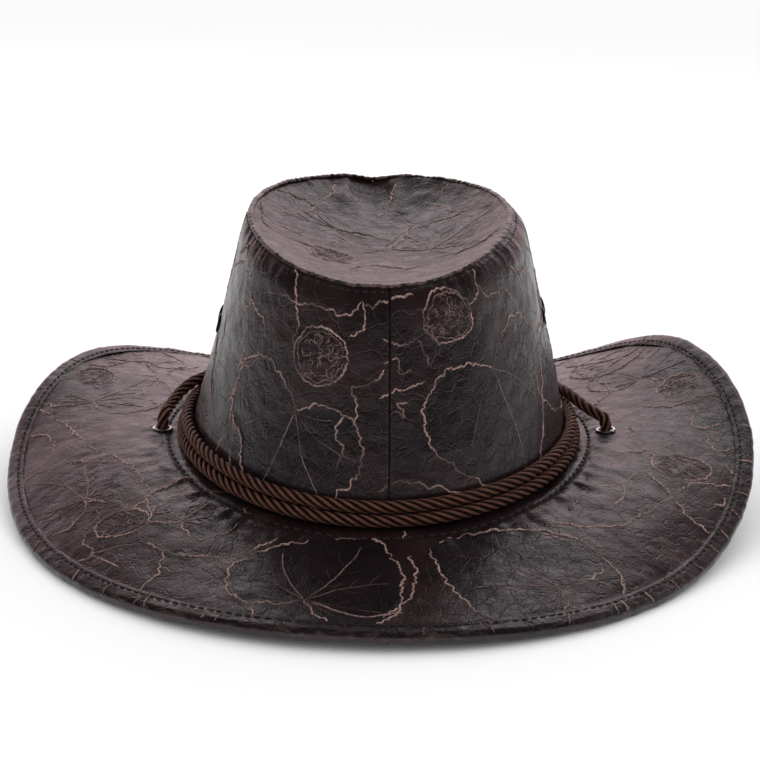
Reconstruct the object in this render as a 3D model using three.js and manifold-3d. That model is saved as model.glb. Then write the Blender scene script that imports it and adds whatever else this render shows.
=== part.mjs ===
// Western hat in embossed leather: a round-sided crown with a dished tip, a stiffened brim that rolls up
// at the sides and hangs at the back, a doubled rope band and a chin cord with a sliding bead.
// Millimetres, +Z up, +Y to the wearer's front, +X to the wearer's right. It stands on its brim at z = 0.
import * as THREE from "three";
import { mergeVertices } from "three/addons/utils/BufferGeometryUtils.js";
import Module from "manifold-3d";

const wasm = await Module();
wasm.setup();

// ---- Driving dimensions -------------------------------------------------------------------------

const GAP = 0.3; // between pieces that lie against each other
const STATIONS = 40; // round the oval

// The oval where the crown meets the brim: outside of the leather. A head size of 57 fits inside it.
const BASE = { halfWidth: 85, halfLength: 104, height: 26.4, sideRise: 3.3, frontRise: 2.2 };

// The oval seam round the tip of the crown, lower at the back, with a small pinch at the front.
const RIM = {
  halfWidth: 55.5,
  halfLength: 76.2,
  setBack: 2.1,
  height: 125.4,
  frontRise: 8.9,
  sideRise: 3.3,
  pinch: 1.8,
  pinchSpread: 0.14,
};
const SHOULDER = { out: 6.5, drop: 3, start: 0.9, round: 0.07 };
const LEFT_PRESS = { shoulder: 3.6, wall: 1.1, foot: 2.8 }; // how far the crown is pressed in on the left
const SEAM_TURN = 5; // degrees that the crown's seams and pinch stand round from the oval's middle line
const TIP_DISH = 14; // depth of the hollow in the tip

// The brim: slope in degrees where it leaves the crown, and control slopes at its edge every 30 degrees
// round the oval, counted from the wearer's right through the front.
const BRIM_WIDTH = 81.2;
const BRIM_START_SLOPE = { mean: -2.4, side: 9.1 };
const BRIM_EDGE_SLOPES = [0, 53.5, -5, -28, -3, 24.5, -39.5, -42, -17.5, -3.5, -19.5, -42.5];

const LEATHER = 0.9; // brim leather
const CORE = 0.8; // stiffener between the two leathers
const WALL = 1.2; // crown leather
const LINING = 0.6;
const SWEATBAND = { thickness: 1.2, below: 4.5, top: 0.38 };
const BINDING = { leather: 0.7, width: 6, wire: 1.0 };
const WELT_RADIUS = 0.9;

const CORD_RADIUS = 2.5;
const CORD_SIDES = 8;
const CORD_STEP = 9.5;
const EYELET_SIDES = 12;

const EYELET = { bore: 3.05, barrel: 3.4, hole: 3.7, flange: 4.6, metal: 0.6 };
const EYELET_PLACES = { right: { angle: 0.5, out: 17 }, left: { angle: 184.8, out: 11.4 } };
const VENT = { bore: 2, barrel: 2.4, hole: 2.7, flange: 4.2, metal: 0.5, front: 4.4, rear: -4.8 };
const VENT_HEIGHT = { left: 0.5, right: 0.57 }; // as a share of the crown wall

const BEAD = { length: 12, height: 8.8, wall: 1.5, clearance: 0.4, spacing: 6.8, at: -25 };
const KNOT_RADIUS = 5;
const TAIL_END = -62; // where both chin cords end in their knots

// ---- Surfaces of the hat ------------------------------------------------------------------------

const radians = (degrees) => (degrees * Math.PI) / 180;
const FRONT = Math.PI / 2;
const BACK = 1.5 * Math.PI;
const seamTurn = radians(SEAM_TURN);

// Depths of the brim's layers below the upper face of its upper leather.
const coreTop = LEATHER + GAP;
const lowerTop = coreTop + CORE + GAP;
const brimThickness = lowerTop + LEATHER;
const bindingRadius = brimThickness / 2 + GAP + BINDING.leather;
const bindingInner = bindingRadius - BINDING.leather;
const edgeCentre = BRIM_WIDTH - bindingRadius; // where the wire runs

/** A uniform cubic B-spline round the oval through evenly spaced control values. */
function roundSpline(values, phi) {
  const place = (((phi / (2 * Math.PI)) % 1) + 1) % 1 * values.length;
  const i = Math.floor(place);
  const f = place - i;
  const at = (k) => values[(i + k + values.length) % values.length];
  const before = (1 - f) ** 3 * at(-1) + (3 * f ** 3 - 6 * f ** 2 + 4) * at(0);
  const after = (-3 * f ** 3 + 3 * f ** 2 + 3 * f + 1) * at(1) + f ** 3 * at(2);
  return (before + after) / 6;
}

/** How fully a place takes the press: 1 at the wearer's left, falling to 0 at the front and the back. */
const onLeft = (phi) => Math.max(0, -Math.cos(phi)) ** 2;

/** The foot of the crown wall at angle phi, and the outward direction there. */
function foot(phi) {
  const point = new THREE.Vector3(
    BASE.halfWidth * Math.cos(phi),
    BASE.halfLength * Math.sin(phi),
    BASE.height + BASE.sideRise * Math.cos(2 * phi) + BASE.frontRise * Math.sin(phi),
  );
  const out = new THREE.Vector3(BASE.halfLength * Math.cos(phi), BASE.halfWidth * Math.sin(phi), 0);
  out.normalize();
  return { point: point.addScaledVector(out, -LEFT_PRESS.foot * onLeft(phi)), out };
}

/** Slope of the brim at angle phi, a share u of the way from the crown to the edge. */
function brimSlopes(phi) {
  const start = radians(BRIM_START_SLOPE.mean + BRIM_START_SLOPE.side * Math.cos(2 * phi));
  return { start, turn: radians(roundSpline(BRIM_EDGE_SLOPES, phi)) - start };
}

/** A point of the brim: arc is the way out from the crown, depth lies below the upper face. */
function brimPoint(phi, arc, depth) {
  const { point, out } = foot(phi);
  const { start, turn } = brimSlopes(phi);
  const u = arc / BRIM_WIDTH;
  const slope = start + turn * u;
  const flat = Math.abs(turn) < 1e-4;
  const run = flat ? u * Math.cos(start) : (Math.sin(slope) - Math.sin(start)) / turn;
  const rise = flat ? u * Math.sin(start) : (Math.cos(start) - Math.cos(slope)) / turn;
  const pressedWidth = LEFT_PRESS.foot * onLeft(phi) * u;
  point.addScaledVector(out, run * BRIM_WIDTH + depth * Math.sin(slope) + pressedWidth);
  point.z += rise * BRIM_WIDTH - depth * Math.cos(slope);
  return point;
}

/** Section of the binding, which wraps the edge: [arc from the wire, depth below the wire]. */
function bindingSection() {
  const arcPoints = (radius, angles) =>
    angles.map((a) => [radius * Math.cos(radians(a)), -radius * Math.sin(radians(a))]);
  return [
    [-BINDING.width, -bindingRadius],
    ...arcPoints(bindingRadius, [90, 45, 0, -45, -90]),
    [-BINDING.width, bindingRadius],
    [-BINDING.width, bindingInner],
    ...arcPoints(bindingInner, [-90, 0, 90]),
    [-BINDING.width, -bindingInner],
  ];
}

const stationAngles = Array.from(
  { length: STATIONS },
  (_, i) => seamTurn + (2 * Math.PI * i) / STATIONS,
);
const bindingPoint = (phi, [arc, depth]) =>
  brimPoint(phi, edgeCentre + arc, brimThickness / 2 + depth);

// The hat is lifted so that the lowest point of its binding stands on z = 0.
const lowest = Math.min(
  ...stationAngles.flatMap((phi) => bindingSection().map((at) => bindingPoint(phi, at).z)),
);
BASE.height -= lowest;
RIM.height -= lowest;

/** The seam round the tip. */
function rim(phi) {
  const fromFront = Math.atan2(Math.cos(phi - seamTurn), Math.sin(phi - seamTurn));
  const pinch = RIM.pinch * Math.exp(-((fromFront / RIM.pinchSpread) ** 2));
  return new THREE.Vector3(
    RIM.halfWidth * Math.cos(phi),
    RIM.halfLength * Math.sin(phi) - RIM.setBack,
    RIM.height + RIM.frontRise * Math.sin(phi) + RIM.sideRise * Math.cos(2 * phi) - pinch,
  );
}

/** The crown wall: t runs from the foot, 0, to the tip's seam, 1. Gives the point and outward normal. */
function wallFrame(phi, t) {
  const low = foot(phi).point;
  const top = rim(phi);
  const inward = new THREE.Vector3(top.x - low.x, top.y - low.y, 0).normalize();
  const shoulder = SHOULDER.out - LEFT_PRESS.shoulder * onLeft(phi);
  const corner = top.clone().addScaledVector(inward, -shoulder);
  corner.z -= SHOULDER.drop;
  const bend = corner.clone().lerp(low, SHOULDER.round);
  let point;
  let along;
  if (t <= SHOULDER.start) {
    const share = t / SHOULDER.start;
    const press = 4 * LEFT_PRESS.wall * onLeft(phi);
    point = low.clone().lerp(bend, share).addScaledVector(inward, press * share * (1 - share));
    along = bend.clone().sub(low).addScaledVector(inward, press * (1 - 2 * share)).normalize();
  } else {
    const s = (t - SHOULDER.start) / (1 - SHOULDER.start);
    const curve = new THREE.QuadraticBezierCurve3(bend, corner, top);
    point = curve.getPoint(s);
    along = curve.getTangent(s);
  }
  const climb = along.z;
  const lean = along.dot(inward);
  const normal = inward.clone().multiplyScalar(-climb);
  normal.z = lean;
  return { point, normal: normal.normalize() };
}

function wallPoint(phi, t, depth) {
  const { point, normal } = wallFrame(phi, t);
  return point.addScaledVector(normal, -depth);
}

/** The dished tip: rho runs from the middle, 0, to the seam, 1. */
function tipPoint(phi, rho, depth) {
  const edge = rim(phi);
  const middle = RIM.height - TIP_DISH;
  return new THREE.Vector3(
    edge.x * rho,
    (edge.y + RIM.setBack) * rho - RIM.setBack,
    middle + (edge.z - middle) * rho ** 2 - depth,
  );
}

/** The sweatband follows the wall and hangs straight down below the foot. */
function bandPoint(phi, t, depth) {
  const point = wallPoint(phi, Math.max(t, 0), depth);
  if (t < 0) point.z -= SWEATBAND.below;
  return point;
}

// ---- Making solids ------------------------------------------------------------------------------

/** Merges shared corners and turns the faces outward. */
function closedSolid(geometry) {
  geometry.deleteAttribute("normal");
  geometry.deleteAttribute("uv");
  geometry.clearGroups();
  const merged = mergeVertices(geometry, 1e-4);
  const at = merged.attributes.position;
  const index = merged.index.array;
  const corner = (i) => new THREE.Vector3().fromBufferAttribute(at, index[i]);
  let volume = 0;
  for (let i = 0; i < index.length; i += 3) {
    volume += corner(i).dot(corner(i + 1).cross(corner(i + 2)));
  }
  if (volume < 0) index.reverse();
  return merged;
}

/** Two triangles between two stations, split so that parallel faces share the same diagonals. */
function addQuad(index, [here, hereNext, there, thereNext], ascending) {
  if (ascending) index.push(here, hereNext, thereNext, here, thereNext, there);
  else index.push(here, hereNext, there, hereNext, thereNext, there);
}

/** A skin over a row of loops, each with the section's corners: a closed ring, or capped at both ends. */
function loft(loops, section, capped = false) {
  const count = section.length;
  const corners = loops.flat().flatMap((p) => [p.x, p.y, p.z]);
  const index = [];
  const spans = capped ? loops.length - 1 : loops.length;
  for (let i = 0; i < spans; i += 1) {
    const here = i * count;
    const next = ((i + 1) % loops.length) * count;
    for (let j = 0; j < count; j += 1) {
      const k = (j + 1) % count;
      addQuad(index, [here + j, here + k, next + j, next + k], section[j][0] <= section[k][0]);
    }
  }
  if (capped) {
    const flat = section.map(([x, y]) => new THREE.Vector2(x, y));
    const last = (loops.length - 1) * count;
    const turn = THREE.ShapeUtils.isClockWise(flat) ? -1 : 1;
    for (const [a, b, c] of THREE.ShapeUtils.triangulateShape(flat, [])) {
      const [p, q] = turn > 0 ? [b, c] : [c, b];
      index.push(a, q, p, last + a, last + p, last + q);
    }
  }
  const geometry = new THREE.BufferGeometry();
  geometry.setAttribute("position", new THREE.Float32BufferAttribute(corners, 3));
  geometry.setIndex(index);
  return closedSolid(geometry);
}

/** Outline of a layer between two depths over a row of places. */
const layer = (places, top, bottom) => [
  ...places.map((at) => [at, top]),
  ...places.map((at) => [at, bottom]).reverse(),
];

/** A section carried all the way round the oval. */
function ring(place, section) {
  return loft(stationAngles.map((phi) => section.map(([a, b]) => place(phi, a, b))), section);
}

/** Half of the crown wall, from one centre seam to the other. */
function halfWall(from, section) {
  const halfSeam = 0.002;
  const loops = Array.from({ length: STATIONS / 2 + 1 }, (_, i) => {
    const share = (2 * i) / STATIONS;
    const phi = from + halfSeam + share * (Math.PI - 2 * halfSeam);
    return section.map(([t, depth]) => wallPoint(phi, t, depth));
  });
  return loft(loops, section, true);
}

/** A dish inside the tip seam, between two depths, out to the largest share in rhos. */
function dish(rhos, top, bottom) {
  const middle = [tipPoint(0, 0, top), tipPoint(0, 0, bottom)];
  const corners = middle.flatMap((p) => [p.x, p.y, p.z]);
  const section = layer(rhos, top, bottom);
  const count = section.length;
  const index = [];
  for (const phi of stationAngles) {
    for (const [rho, depth] of section) corners.push(...tipPoint(phi, rho, depth).toArray());
  }
  for (let i = 0; i < STATIONS; i += 1) {
    const here = 2 + i * count;
    const next = 2 + ((i + 1) % STATIONS) * count;
    index.push(0, here, next, 1, next + count - 1, here + count - 1);
    for (let j = 0; j < count - 1; j += 1) {
      addQuad(index, [here + j, here + j + 1, next + j, next + j + 1], j < rhos.length);
    }
  }
  const geometry = new THREE.BufferGeometry();
  geometry.setAttribute("position", new THREE.Float32BufferAttribute(corners, 3));
  geometry.setIndex(index);
  return closedSolid(geometry);
}

/** A turned ring from a closed profile of [radius, height], its axis along +Z. */
function turned(profile, segments) {
  const points = [...profile, profile[0]].map(([r, h]) => new THREE.Vector2(r, h));
  const geometry = new THREE.LatheGeometry(points, segments);
  geometry.rotateX(Math.PI / 2);
  return closedSolid(geometry);
}

const roundSection = (radius, sides) =>
  Array.from({ length: sides }, (_, i) => {
    const a = (2 * Math.PI * i) / sides;
    return [radius * Math.cos(a), radius * Math.sin(a)];
  });

/** An open cord along a curve. */
function cordTube(points) {
  const curve = new THREE.CatmullRomCurve3(points);
  const corners = roundSection(CORD_RADIUS, CORD_SIDES).map(([x, y]) => new THREE.Vector2(x, y));
  const steps = Math.round(curve.getLength() / CORD_STEP);
  const settings = { steps, extrudePath: curve, bevelEnabled: false };
  return closedSolid(new THREE.ExtrudeGeometry(new THREE.Shape(corners), settings));
}

/** A closed cord: the same section round a curve that meets itself. */
function cordLoop(points, steps) {
  const curve = new THREE.CatmullRomCurve3(points, true);
  const { normals, binormals } = curve.computeFrenetFrames(steps, true);
  const section = roundSection(CORD_RADIUS, CORD_SIDES);
  const loops = Array.from({ length: steps }, (_, i) => {
    const centre = curve.getPointAt(i / steps);
    return section.map(([x, y]) =>
      centre.clone().addScaledVector(normals[i], x).addScaledVector(binormals[i], y),
    );
  });
  return loft(loops, section);
}

const toManifold = (geometry) =>
  new wasm.Manifold(
    new wasm.Mesh({
      numProp: 3,
      vertProperties: Float32Array.from(geometry.attributes.position.array),
      triVerts: Uint32Array.from(geometry.index.array),
    }),
  );

/** Drills round holes through a solid; each tool is {point, normal, radius}. */
function drilled(geometry, holes) {
  let body = toManifold(geometry);
  for (const { point, normal, radius } of holes) {
    const tool = new THREE.CylinderGeometry(radius, radius, 20, 16);
    tool.applyQuaternion(new THREE.Quaternion().setFromUnitVectors(THREE.Object3D.DEFAULT_UP, normal));
    tool.translate(point.x, point.y, point.z);
    body = body.subtract(toManifold(closedSolid(tool)));
  }
  const mesh = body.getMesh();
  const result = new THREE.BufferGeometry();
  result.setAttribute("position", new THREE.BufferAttribute(mesh.vertProperties, 3));
  result.setIndex(new THREE.BufferAttribute(mesh.triVerts, 1));
  return result;
}

// ---- Materials and the group --------------------------------------------------------------------

const finish = (color, roughness, metalness) => ({ color, roughness, metalness });
const FINISHES = {
  leather: finish(0x2b1d1f, 0.4, 0),
  lining: finish(0x1b1617, 0.8, 0),
  sweatband: finish(0x241a18, 0.6, 0),
  core: finish(0x3a3836, 0.7, 0),
  wire: finish(0x8c8f92, 0.35, 1),
  cord: finish(0x4a281c, 0.55, 0),
  metal: finish(0xb9bcc0, 0.25, 1),
  vent: finish(0x2a2628, 0.3, 1),
  bead: finish(0x2a1a14, 0.35, 0),
};

const hat = new THREE.Group();

function add(name, geometry, kind, frame) {
  geometry.computeVertexNormals();
  const mesh = new THREE.Mesh(geometry, new THREE.MeshStandardMaterial(FINISHES[kind]));
  mesh.name = name;
  if (frame) {
    mesh.position.copy(frame.point);
    mesh.quaternion.setFromUnitVectors(new THREE.Vector3(0, 0, 1), frame.normal);
  }
  hat.add(mesh);
}

// ---- Eyelets ------------------------------------------------------------------------------------

/** A rolled eyelet through a wall: flange outside, barrel, and a lip that grips a washer inside. */
function eyelet(size, thickness) {
  const lip = -(thickness + GAP + size.metal + GAP);
  const face = GAP + 0.05;
  return turned(
    [
      [size.bore, face + size.metal],
      [size.bore, lip - size.metal],
      [size.flange - 0.4, lip - size.metal],
      [size.flange - 0.4, lip],
      [size.barrel, lip],
      [size.barrel, face],
      [size.flange, face],
      [size.flange, face + size.metal],
    ],
    EYELET_SIDES,
  );
}

function washer(size, thickness) {
  const top = -(thickness + GAP);
  return turned(
    [
      [size.hole, top],
      [size.hole, top - size.metal],
      [size.flange, top - size.metal],
      [size.flange, top],
    ],
    EYELET_SIDES,
  );
}

/** The place and upward normal of a brim eyelet. */
function eyeletFrame({ angle, out }) {
  const point = brimPoint(radians(angle), out, 0);
  const normal = point.clone().sub(brimPoint(radians(angle), out, 1));
  return { point, normal: normal.normalize() };
}

const eyelets = {
  right: eyeletFrame(EYELET_PLACES.right),
  left: eyeletFrame(EYELET_PLACES.left),
};
const vents = {
  right_front: wallFrame(radians(VENT.front), VENT_HEIGHT.right),
  right_rear: wallFrame(radians(VENT.rear), VENT_HEIGHT.right),
  left_front: wallFrame(radians(180 - VENT.front), VENT_HEIGHT.left),
  left_rear: wallFrame(radians(180 - VENT.rear), VENT_HEIGHT.left),
};
const brimHoles = Object.values(eyelets).map((frame) => ({ ...frame, radius: EYELET.hole }));
const ventHoles = Object.values(vents).map((frame) => ({ ...frame, radius: VENT.hole }));
const rightVentHoles = ventHoles.filter(({ point }) => point.x > 0);
const leftVentHoles = ventHoles.filter(({ point }) => point.x < 0);

// ---- Crown --------------------------------------------------------------------------------------

const wallFoot = 0.012; // the leather starts just above the brim
const wallRows = [wallFoot, 0.25, 0.5, 0.7, SHOULDER.start, 0.96, 1];
const wallSection = layer(wallRows, 0, WALL);
add("crown_panel_right", drilled(halfWall(seamTurn - FRONT, wallSection), rightVentHoles), "leather");
add("crown_panel_left", drilled(halfWall(seamTurn + FRONT, wallSection), leftVentHoles), "leather");

const tipRows = [0.35, 0.6, 0.82];
add("crown_tip", dish([...tipRows, 0.976], 0, WALL), "leather");
const weltPoint = (phi, out, up) => {
  const at = rim(phi);
  const { out: direction } = foot(phi);
  return at.addScaledVector(direction, out).setZ(at.z + up + WELT_RADIUS + GAP + 0.2);
};
add("crown_tip_welt", ring(weltPoint, roundSection(WELT_RADIUS, 6)), "leather");

const liningDepth = WALL + GAP;
const liningSection = layer([wallFoot, 0.25, 0.5, 0.7, 0.88], liningDepth, liningDepth + LINING);
add("crown_lining_side", drilled(ring(wallPoint, liningSection), ventHoles), "lining");
add("crown_lining_tip", dish([...tipRows, 0.95], liningDepth, liningDepth + LINING), "lining");

const bandDepth = liningDepth + LINING + GAP;
const bandRows = [-1, 0, 0.25, SWEATBAND.top];
const bandSection = layer(bandRows, bandDepth, bandDepth + SWEATBAND.thickness);
add("sweatband", ring(bandPoint, bandSection), "sweatband");

// ---- Brim ---------------------------------------------------------------------------------------

const layerEnd = edgeCentre - BINDING.wire - GAP;
const brimRows = [-WALL, 10, 21, 46, edgeCentre - BINDING.width, layerEnd];
const brimLayer = (top, thickness) =>
  drilled(ring(brimPoint, layer(brimRows, top, top + thickness)), brimHoles);
add("brim_upper", brimLayer(0, LEATHER), "leather");
add("brim_core", brimLayer(coreTop, CORE), "core");
add("brim_lower", brimLayer(lowerTop, LEATHER), "leather");

const edgePlace = (phi, arc, depth) => bindingPoint(phi, [arc, depth]);
add("brim_edge_wire", ring(edgePlace, roundSection(BINDING.wire, 5)), "wire");
add("brim_edge_binding", ring(edgePlace, bindingSection()), "leather");

// Each eyelet is flat where the leather is slightly curved, so it grips with a little slack.
const slack = 0.3;
for (const [side, frame] of Object.entries(eyelets)) {
  add(`brim_eyelet_${side}`, eyelet(EYELET, brimThickness + slack), "metal", frame);
  add(`brim_eyelet_washer_${side}`, washer(EYELET, brimThickness + slack), "metal", frame);
}
const ventGrip = liningDepth + LINING + 2 * slack;
for (const [place, frame] of Object.entries(vents)) {
  add(`vent_${place}`, eyelet(VENT, ventGrip), "vent", frame);
  add(`vent_washer_${place}`, washer(VENT, ventGrip), "vent", frame);
}

// ---- Rope band ----------------------------------------------------------------------------------

/** A cord's centre beside the foot of the crown: out from the wall's foot, up from its height. */
function beside(degrees, out, up) {
  const { point, out: direction } = foot(radians(degrees));
  return point.addScaledVector(direction, out).setZ(point.z + up);
}

/** The same place on the wearer's left. */
const mirrored = ([degrees, out, up]) => [180 - degrees, out, up];

const lowerRun = { out: 2.6, up: 3.2 };
const upperRun = { out: 0.9, up: 8.5 };

// The eye at the right end of the back loop, ahead of the crown's side, from the lower run round to the
// upper run.
const eye = [
  [23, lowerRun.out, lowerRun.up],
  [29, 2.8, 3.2],
  [33, 3.6, 3.1],
  [36.5, 6.4, 3.6],
  [39.6, 8.8, 6],
  [41, 9.4, 9.2],
  [39.6, 9.2, 12.6],
  [36.5, 8.4, 13],
  [33, 6, 10.8],
  [29.6, 2.4, 8.8],
  [23, upperRun.out, upperRun.up],
];
const backAngles = Array.from({ length: 15 }, (_, i) => 10 - (200 * i) / 14);
const backLoop = [
  ...eye,
  ...backAngles.map((degrees) => [degrees, upperRun.out, upperRun.up]),
  ...eye.map(mirrored).reverse(),
  ...backAngles.map((degrees) => [degrees, lowerRun.out, lowerRun.up]).reverse(),
];
add("band_cord_back", cordLoop(backLoop.map((at) => beside(...at)), 98), "cord");

// The front cord comes up out of an eyelet and crosses over both runs, sooner on the right than on the
// left. It then goes through the eye and on round the front of the crown.
const crossing = {
  right: [
    [0.9, 15.7, 7.7],
    [2.5, 12.2, 9],
    [4.8, 8.4, 10.4],
    [8, 4.8, 12.3],
    [12, 1.6, 13.8],
    [16.5, -0.6, 14],
  ],
  left: [
    [-3.8, 10.9, 7.2],
    [0.5, 9.6, 7.9],
    [5, 8.3, 9],
    [9.5, 6.4, 11],
    [13.5, 3, 13.3],
    [17.5, -0.2, 14],
  ],
};
const throughEye = [
  [22, -0.6, 14],
  [27, -0.5, 14],
  [30, -0.5, 13.8],
  [32.4, -0.4, 13],
  [34.5, 0.2, 11.4],
  [37, 1.2, 9.4],
  [40, 2.2, 7.6],
  [44, 2.3, 6.2],
  [50, 2.5, 4.4],
  [57, lowerRun.out, 3.5],
];
const frontAngles = Array.from({ length: 5 }, (_, i) => 66 + 12 * i);
const aboveEyelet = ({ point, normal }, height) => point.clone().addScaledVector(normal, height);
const splitDepth = 1.6; // inside the barrel, where the band cord and the chin cord are parted
const frontRoute = [
  ...crossing.right,
  ...throughEye,
  ...frontAngles.map((degrees) => [degrees, lowerRun.out, 3.4]),
  ...[...crossing.left, ...throughEye].map(mirrored).reverse(),
];
const frontCord = [
  aboveEyelet(eyelets.right, -splitDepth),
  aboveEyelet(eyelets.right, 1),
  aboveEyelet(eyelets.right, 3.3),
  ...frontRoute.map((at) => beside(...at)),
  aboveEyelet(eyelets.left, 3),
  aboveEyelet(eyelets.left, 1),
  aboveEyelet(eyelets.left, -splitDepth),
];
add("band_cord_front", cordTube(frontCord), "cord");

// ---- Chin cord ----------------------------------------------------------------------------------

// Each chin cord drops from its eyelet to the surface the hat stands on and lies there in loose curves
// under the crown, until both run side by side through the bead to their knots.
const laid = CORD_RADIUS + 0.2; // height of a cord's centre where it lies
const beadHeight = BEAD.height / 2 + 0.2;
const chinRoute = [
  [99.5, -5.6, 18],
  [96.5, -7.5, 9.5],
  [91, -12.5, 4.2],
  [85, -22, laid],
  [78, -38, laid],
  [66, -53, laid],
  [50, -58, laid],
  [37, -49, laid],
  [33, -33, laid],
  [38, -14, laid],
  [50, 6, laid],
  [59, 27, laid],
  [57, 48, laid],
  [44, 62, laid],
  [27, 64, laid],
  [14, 54, laid],
  [7.5, 39, laid + 0.3],
  [4.2, 26, 4],
  [BEAD.spacing / 2, 15, beadHeight],
  [BEAD.spacing / 2, 0, beadHeight],
  [BEAD.spacing / 2, -20, beadHeight],
  [BEAD.spacing / 2, -40, beadHeight],
  [BEAD.spacing / 2, TAIL_END, beadHeight],
];
const knotCentre = TAIL_END - KNOT_RADIUS - GAP;
for (const [side, sign] of [["right", 1], ["left", -1]]) {
  const frame = eyelets[side];
  const route = [
    aboveEyelet(frame, -splitDepth - GAP),
    aboveEyelet(frame, -splitDepth - 7),
    ...chinRoute.map(([x, y, z]) => new THREE.Vector3(sign * x, y, z)),
  ];
  add(`chin_cord_${side}`, cordTube(route), "cord");
  const knot = closedSolid(new THREE.SphereGeometry(KNOT_RADIUS, 12, 8));
  const knotSide = sign * (KNOT_RADIUS + GAP / 2);
  knot.translate(knotSide, knotCentre, KNOT_RADIUS + 0.1);
  add(`chin_cord_knot_${side}`, knot, "cord");
}

/** The bead: a flat barrel with a bore for each chin cord, its axis along Y. */
function bead() {
  const bore = CORD_RADIUS + BEAD.clearance;
  const half = BEAD.height / 2;
  const centre = BEAD.spacing / 2;
  const outline = new THREE.Shape();
  outline.absarc(centre, 0, half, -FRONT, FRONT);
  outline.absarc(-centre, 0, half, FRONT, BACK);
  outline.closePath();
  for (const x of [-centre, centre]) {
    outline.holes.push(new THREE.Path().absarc(x, 0, bore, 0, 2 * Math.PI, true));
  }
  const settings = { depth: BEAD.length, bevelEnabled: false, curveSegments: 14 };
  const geometry = new THREE.ExtrudeGeometry(outline, settings);
  geometry.translate(0, 0, -BEAD.length / 2);
  geometry.rotateX(Math.PI / 2);
  geometry.translate(0, BEAD.at, beadHeight);
  return closedSolid(geometry);
}
add("slider_bead", bead(), "bead");

// The origin lies under the middle of the hat.
const box = new THREE.Box3().setFromObject(hat);
const centre = box.getCenter(new THREE.Vector3());
hat.position.set(-centre.x, -centre.y, 0);
hat.updateMatrixWorld(true);

export default hat;
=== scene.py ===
"""The looks of a western hat in embossed leather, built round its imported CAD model.

Surfaces are worked out in millimetres about the middle of the head oval, with the same driving dimensions as
the part, and turned into metres in the model's frame when a mesh is made. Angles run round the oval from the
wearer's right through the front, so the back of the hat is at 270 degrees.
"""

import math

import bpy
import numpy as np
from mathutils import Matrix, Vector

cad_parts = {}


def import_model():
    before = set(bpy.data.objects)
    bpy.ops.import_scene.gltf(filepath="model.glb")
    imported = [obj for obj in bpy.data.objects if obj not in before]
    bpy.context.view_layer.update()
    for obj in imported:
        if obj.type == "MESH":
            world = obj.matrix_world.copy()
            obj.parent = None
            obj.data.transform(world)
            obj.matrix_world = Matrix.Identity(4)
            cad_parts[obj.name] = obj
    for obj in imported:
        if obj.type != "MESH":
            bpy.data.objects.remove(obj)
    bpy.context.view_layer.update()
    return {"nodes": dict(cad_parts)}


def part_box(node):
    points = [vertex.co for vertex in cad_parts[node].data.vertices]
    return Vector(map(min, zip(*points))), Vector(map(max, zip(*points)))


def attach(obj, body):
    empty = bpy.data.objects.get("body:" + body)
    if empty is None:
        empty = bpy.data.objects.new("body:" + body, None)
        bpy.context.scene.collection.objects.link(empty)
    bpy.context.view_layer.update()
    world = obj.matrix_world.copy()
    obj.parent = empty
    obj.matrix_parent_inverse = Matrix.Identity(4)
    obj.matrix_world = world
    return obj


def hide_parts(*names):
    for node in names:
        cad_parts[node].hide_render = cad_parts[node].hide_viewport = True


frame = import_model()

# ---- Driving dimensions, in millimetres and degrees ------------------------------------------------

GAP = 0.3
BASE = {"half_width": 85, "half_length": 104, "height": 26.4, "side_rise": 3.3, "front_rise": 2.2}
RIM = {"half_width": 55.5, "half_length": 76.2, "set_back": 2.1, "height": 125.4}
RIM.update(front_rise=8.9, side_rise=3.3, pinch=1.8, pinch_spread=0.14)
SHOULDER = {"out": 6.5, "drop": 3, "start": 0.9, "round": 0.07}
LEFT_PRESS = {"shoulder": 3.6, "wall": 1.1, "foot": 2.8}  # how far the crown is pressed in on the left
SEAM_TURN = math.radians(5)  # the crown's seams and pinch stand round from the oval's middle line
TIP_DISH = 14
BRIM_WIDTH = 81.2
BRIM_START_SLOPE = {"mean": -2.4, "side": 9.1}
BRIM_EDGE_SLOPES = [0, 53.5, -5, -28, -3, 24.5, -39.5, -42, -17.5, -3.5, -19.5, -42.5]
LEATHER = 0.9
CORE = 0.8
WALL = 1.2
LINING = 0.6
SWEATBAND = {"thickness": 1.2, "below": 4.5, "top": 0.38, "seam": 0.33}
BINDING = {"leather": 0.7, "width": 6, "seam": 2.2}
WELT_RADIUS = 0.9
CORD_RADIUS = 2.5
EYELET = {"bore": 3.05, "barrel": 3.4, "flange": 4.6, "metal": 0.6}
EYELET_PLACES = {"right": (0.5, 17), "left": (184.8, 11.4)}  # angle, and way out from the crown
VENT = {"bore": 2, "barrel": 2.4, "flange": 4.2, "metal": 0.5, "front": 4.4, "rear": -4.8}
VENT_HEIGHT = {"left": 0.5, "right": 0.57}
BEAD = {"length": 12, "height": 8.8, "clearance": 0.4, "spacing": 6.8, "at": -25}
KNOT_RADIUS = 5
TAIL_END = -62

BRIM_THICKNESS = 2 * LEATHER + CORE + 2 * GAP
BINDING_RADIUS = BRIM_THICKNESS / 2 + GAP + BINDING["leather"]
EDGE_CENTRE = BRIM_WIDTH - BINDING_RADIUS
LINING_DEPTH = WALL + GAP
BAND_DEPTH = LINING_DEPTH + LINING + GAP
WALL_FOOT = 0.012
FOOT_SEAM = 9.0  # how far out from the crown the brim is stitched down
EDGE_DIP = 71.5  # where the brim's leather sinks a little beside the binding
TURN = 2 * math.pi
BACK = 1.5 * math.pi

# ---- Surfaces of the hat ---------------------------------------------------------------------------


def unit(vectors):
    return vectors / np.maximum(np.linalg.norm(vectors, axis=-1, keepdims=True), 1e-12)


def stack(x, y, z):
    return np.stack(np.broadcast_arrays(x, y, z), axis=-1)


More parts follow.
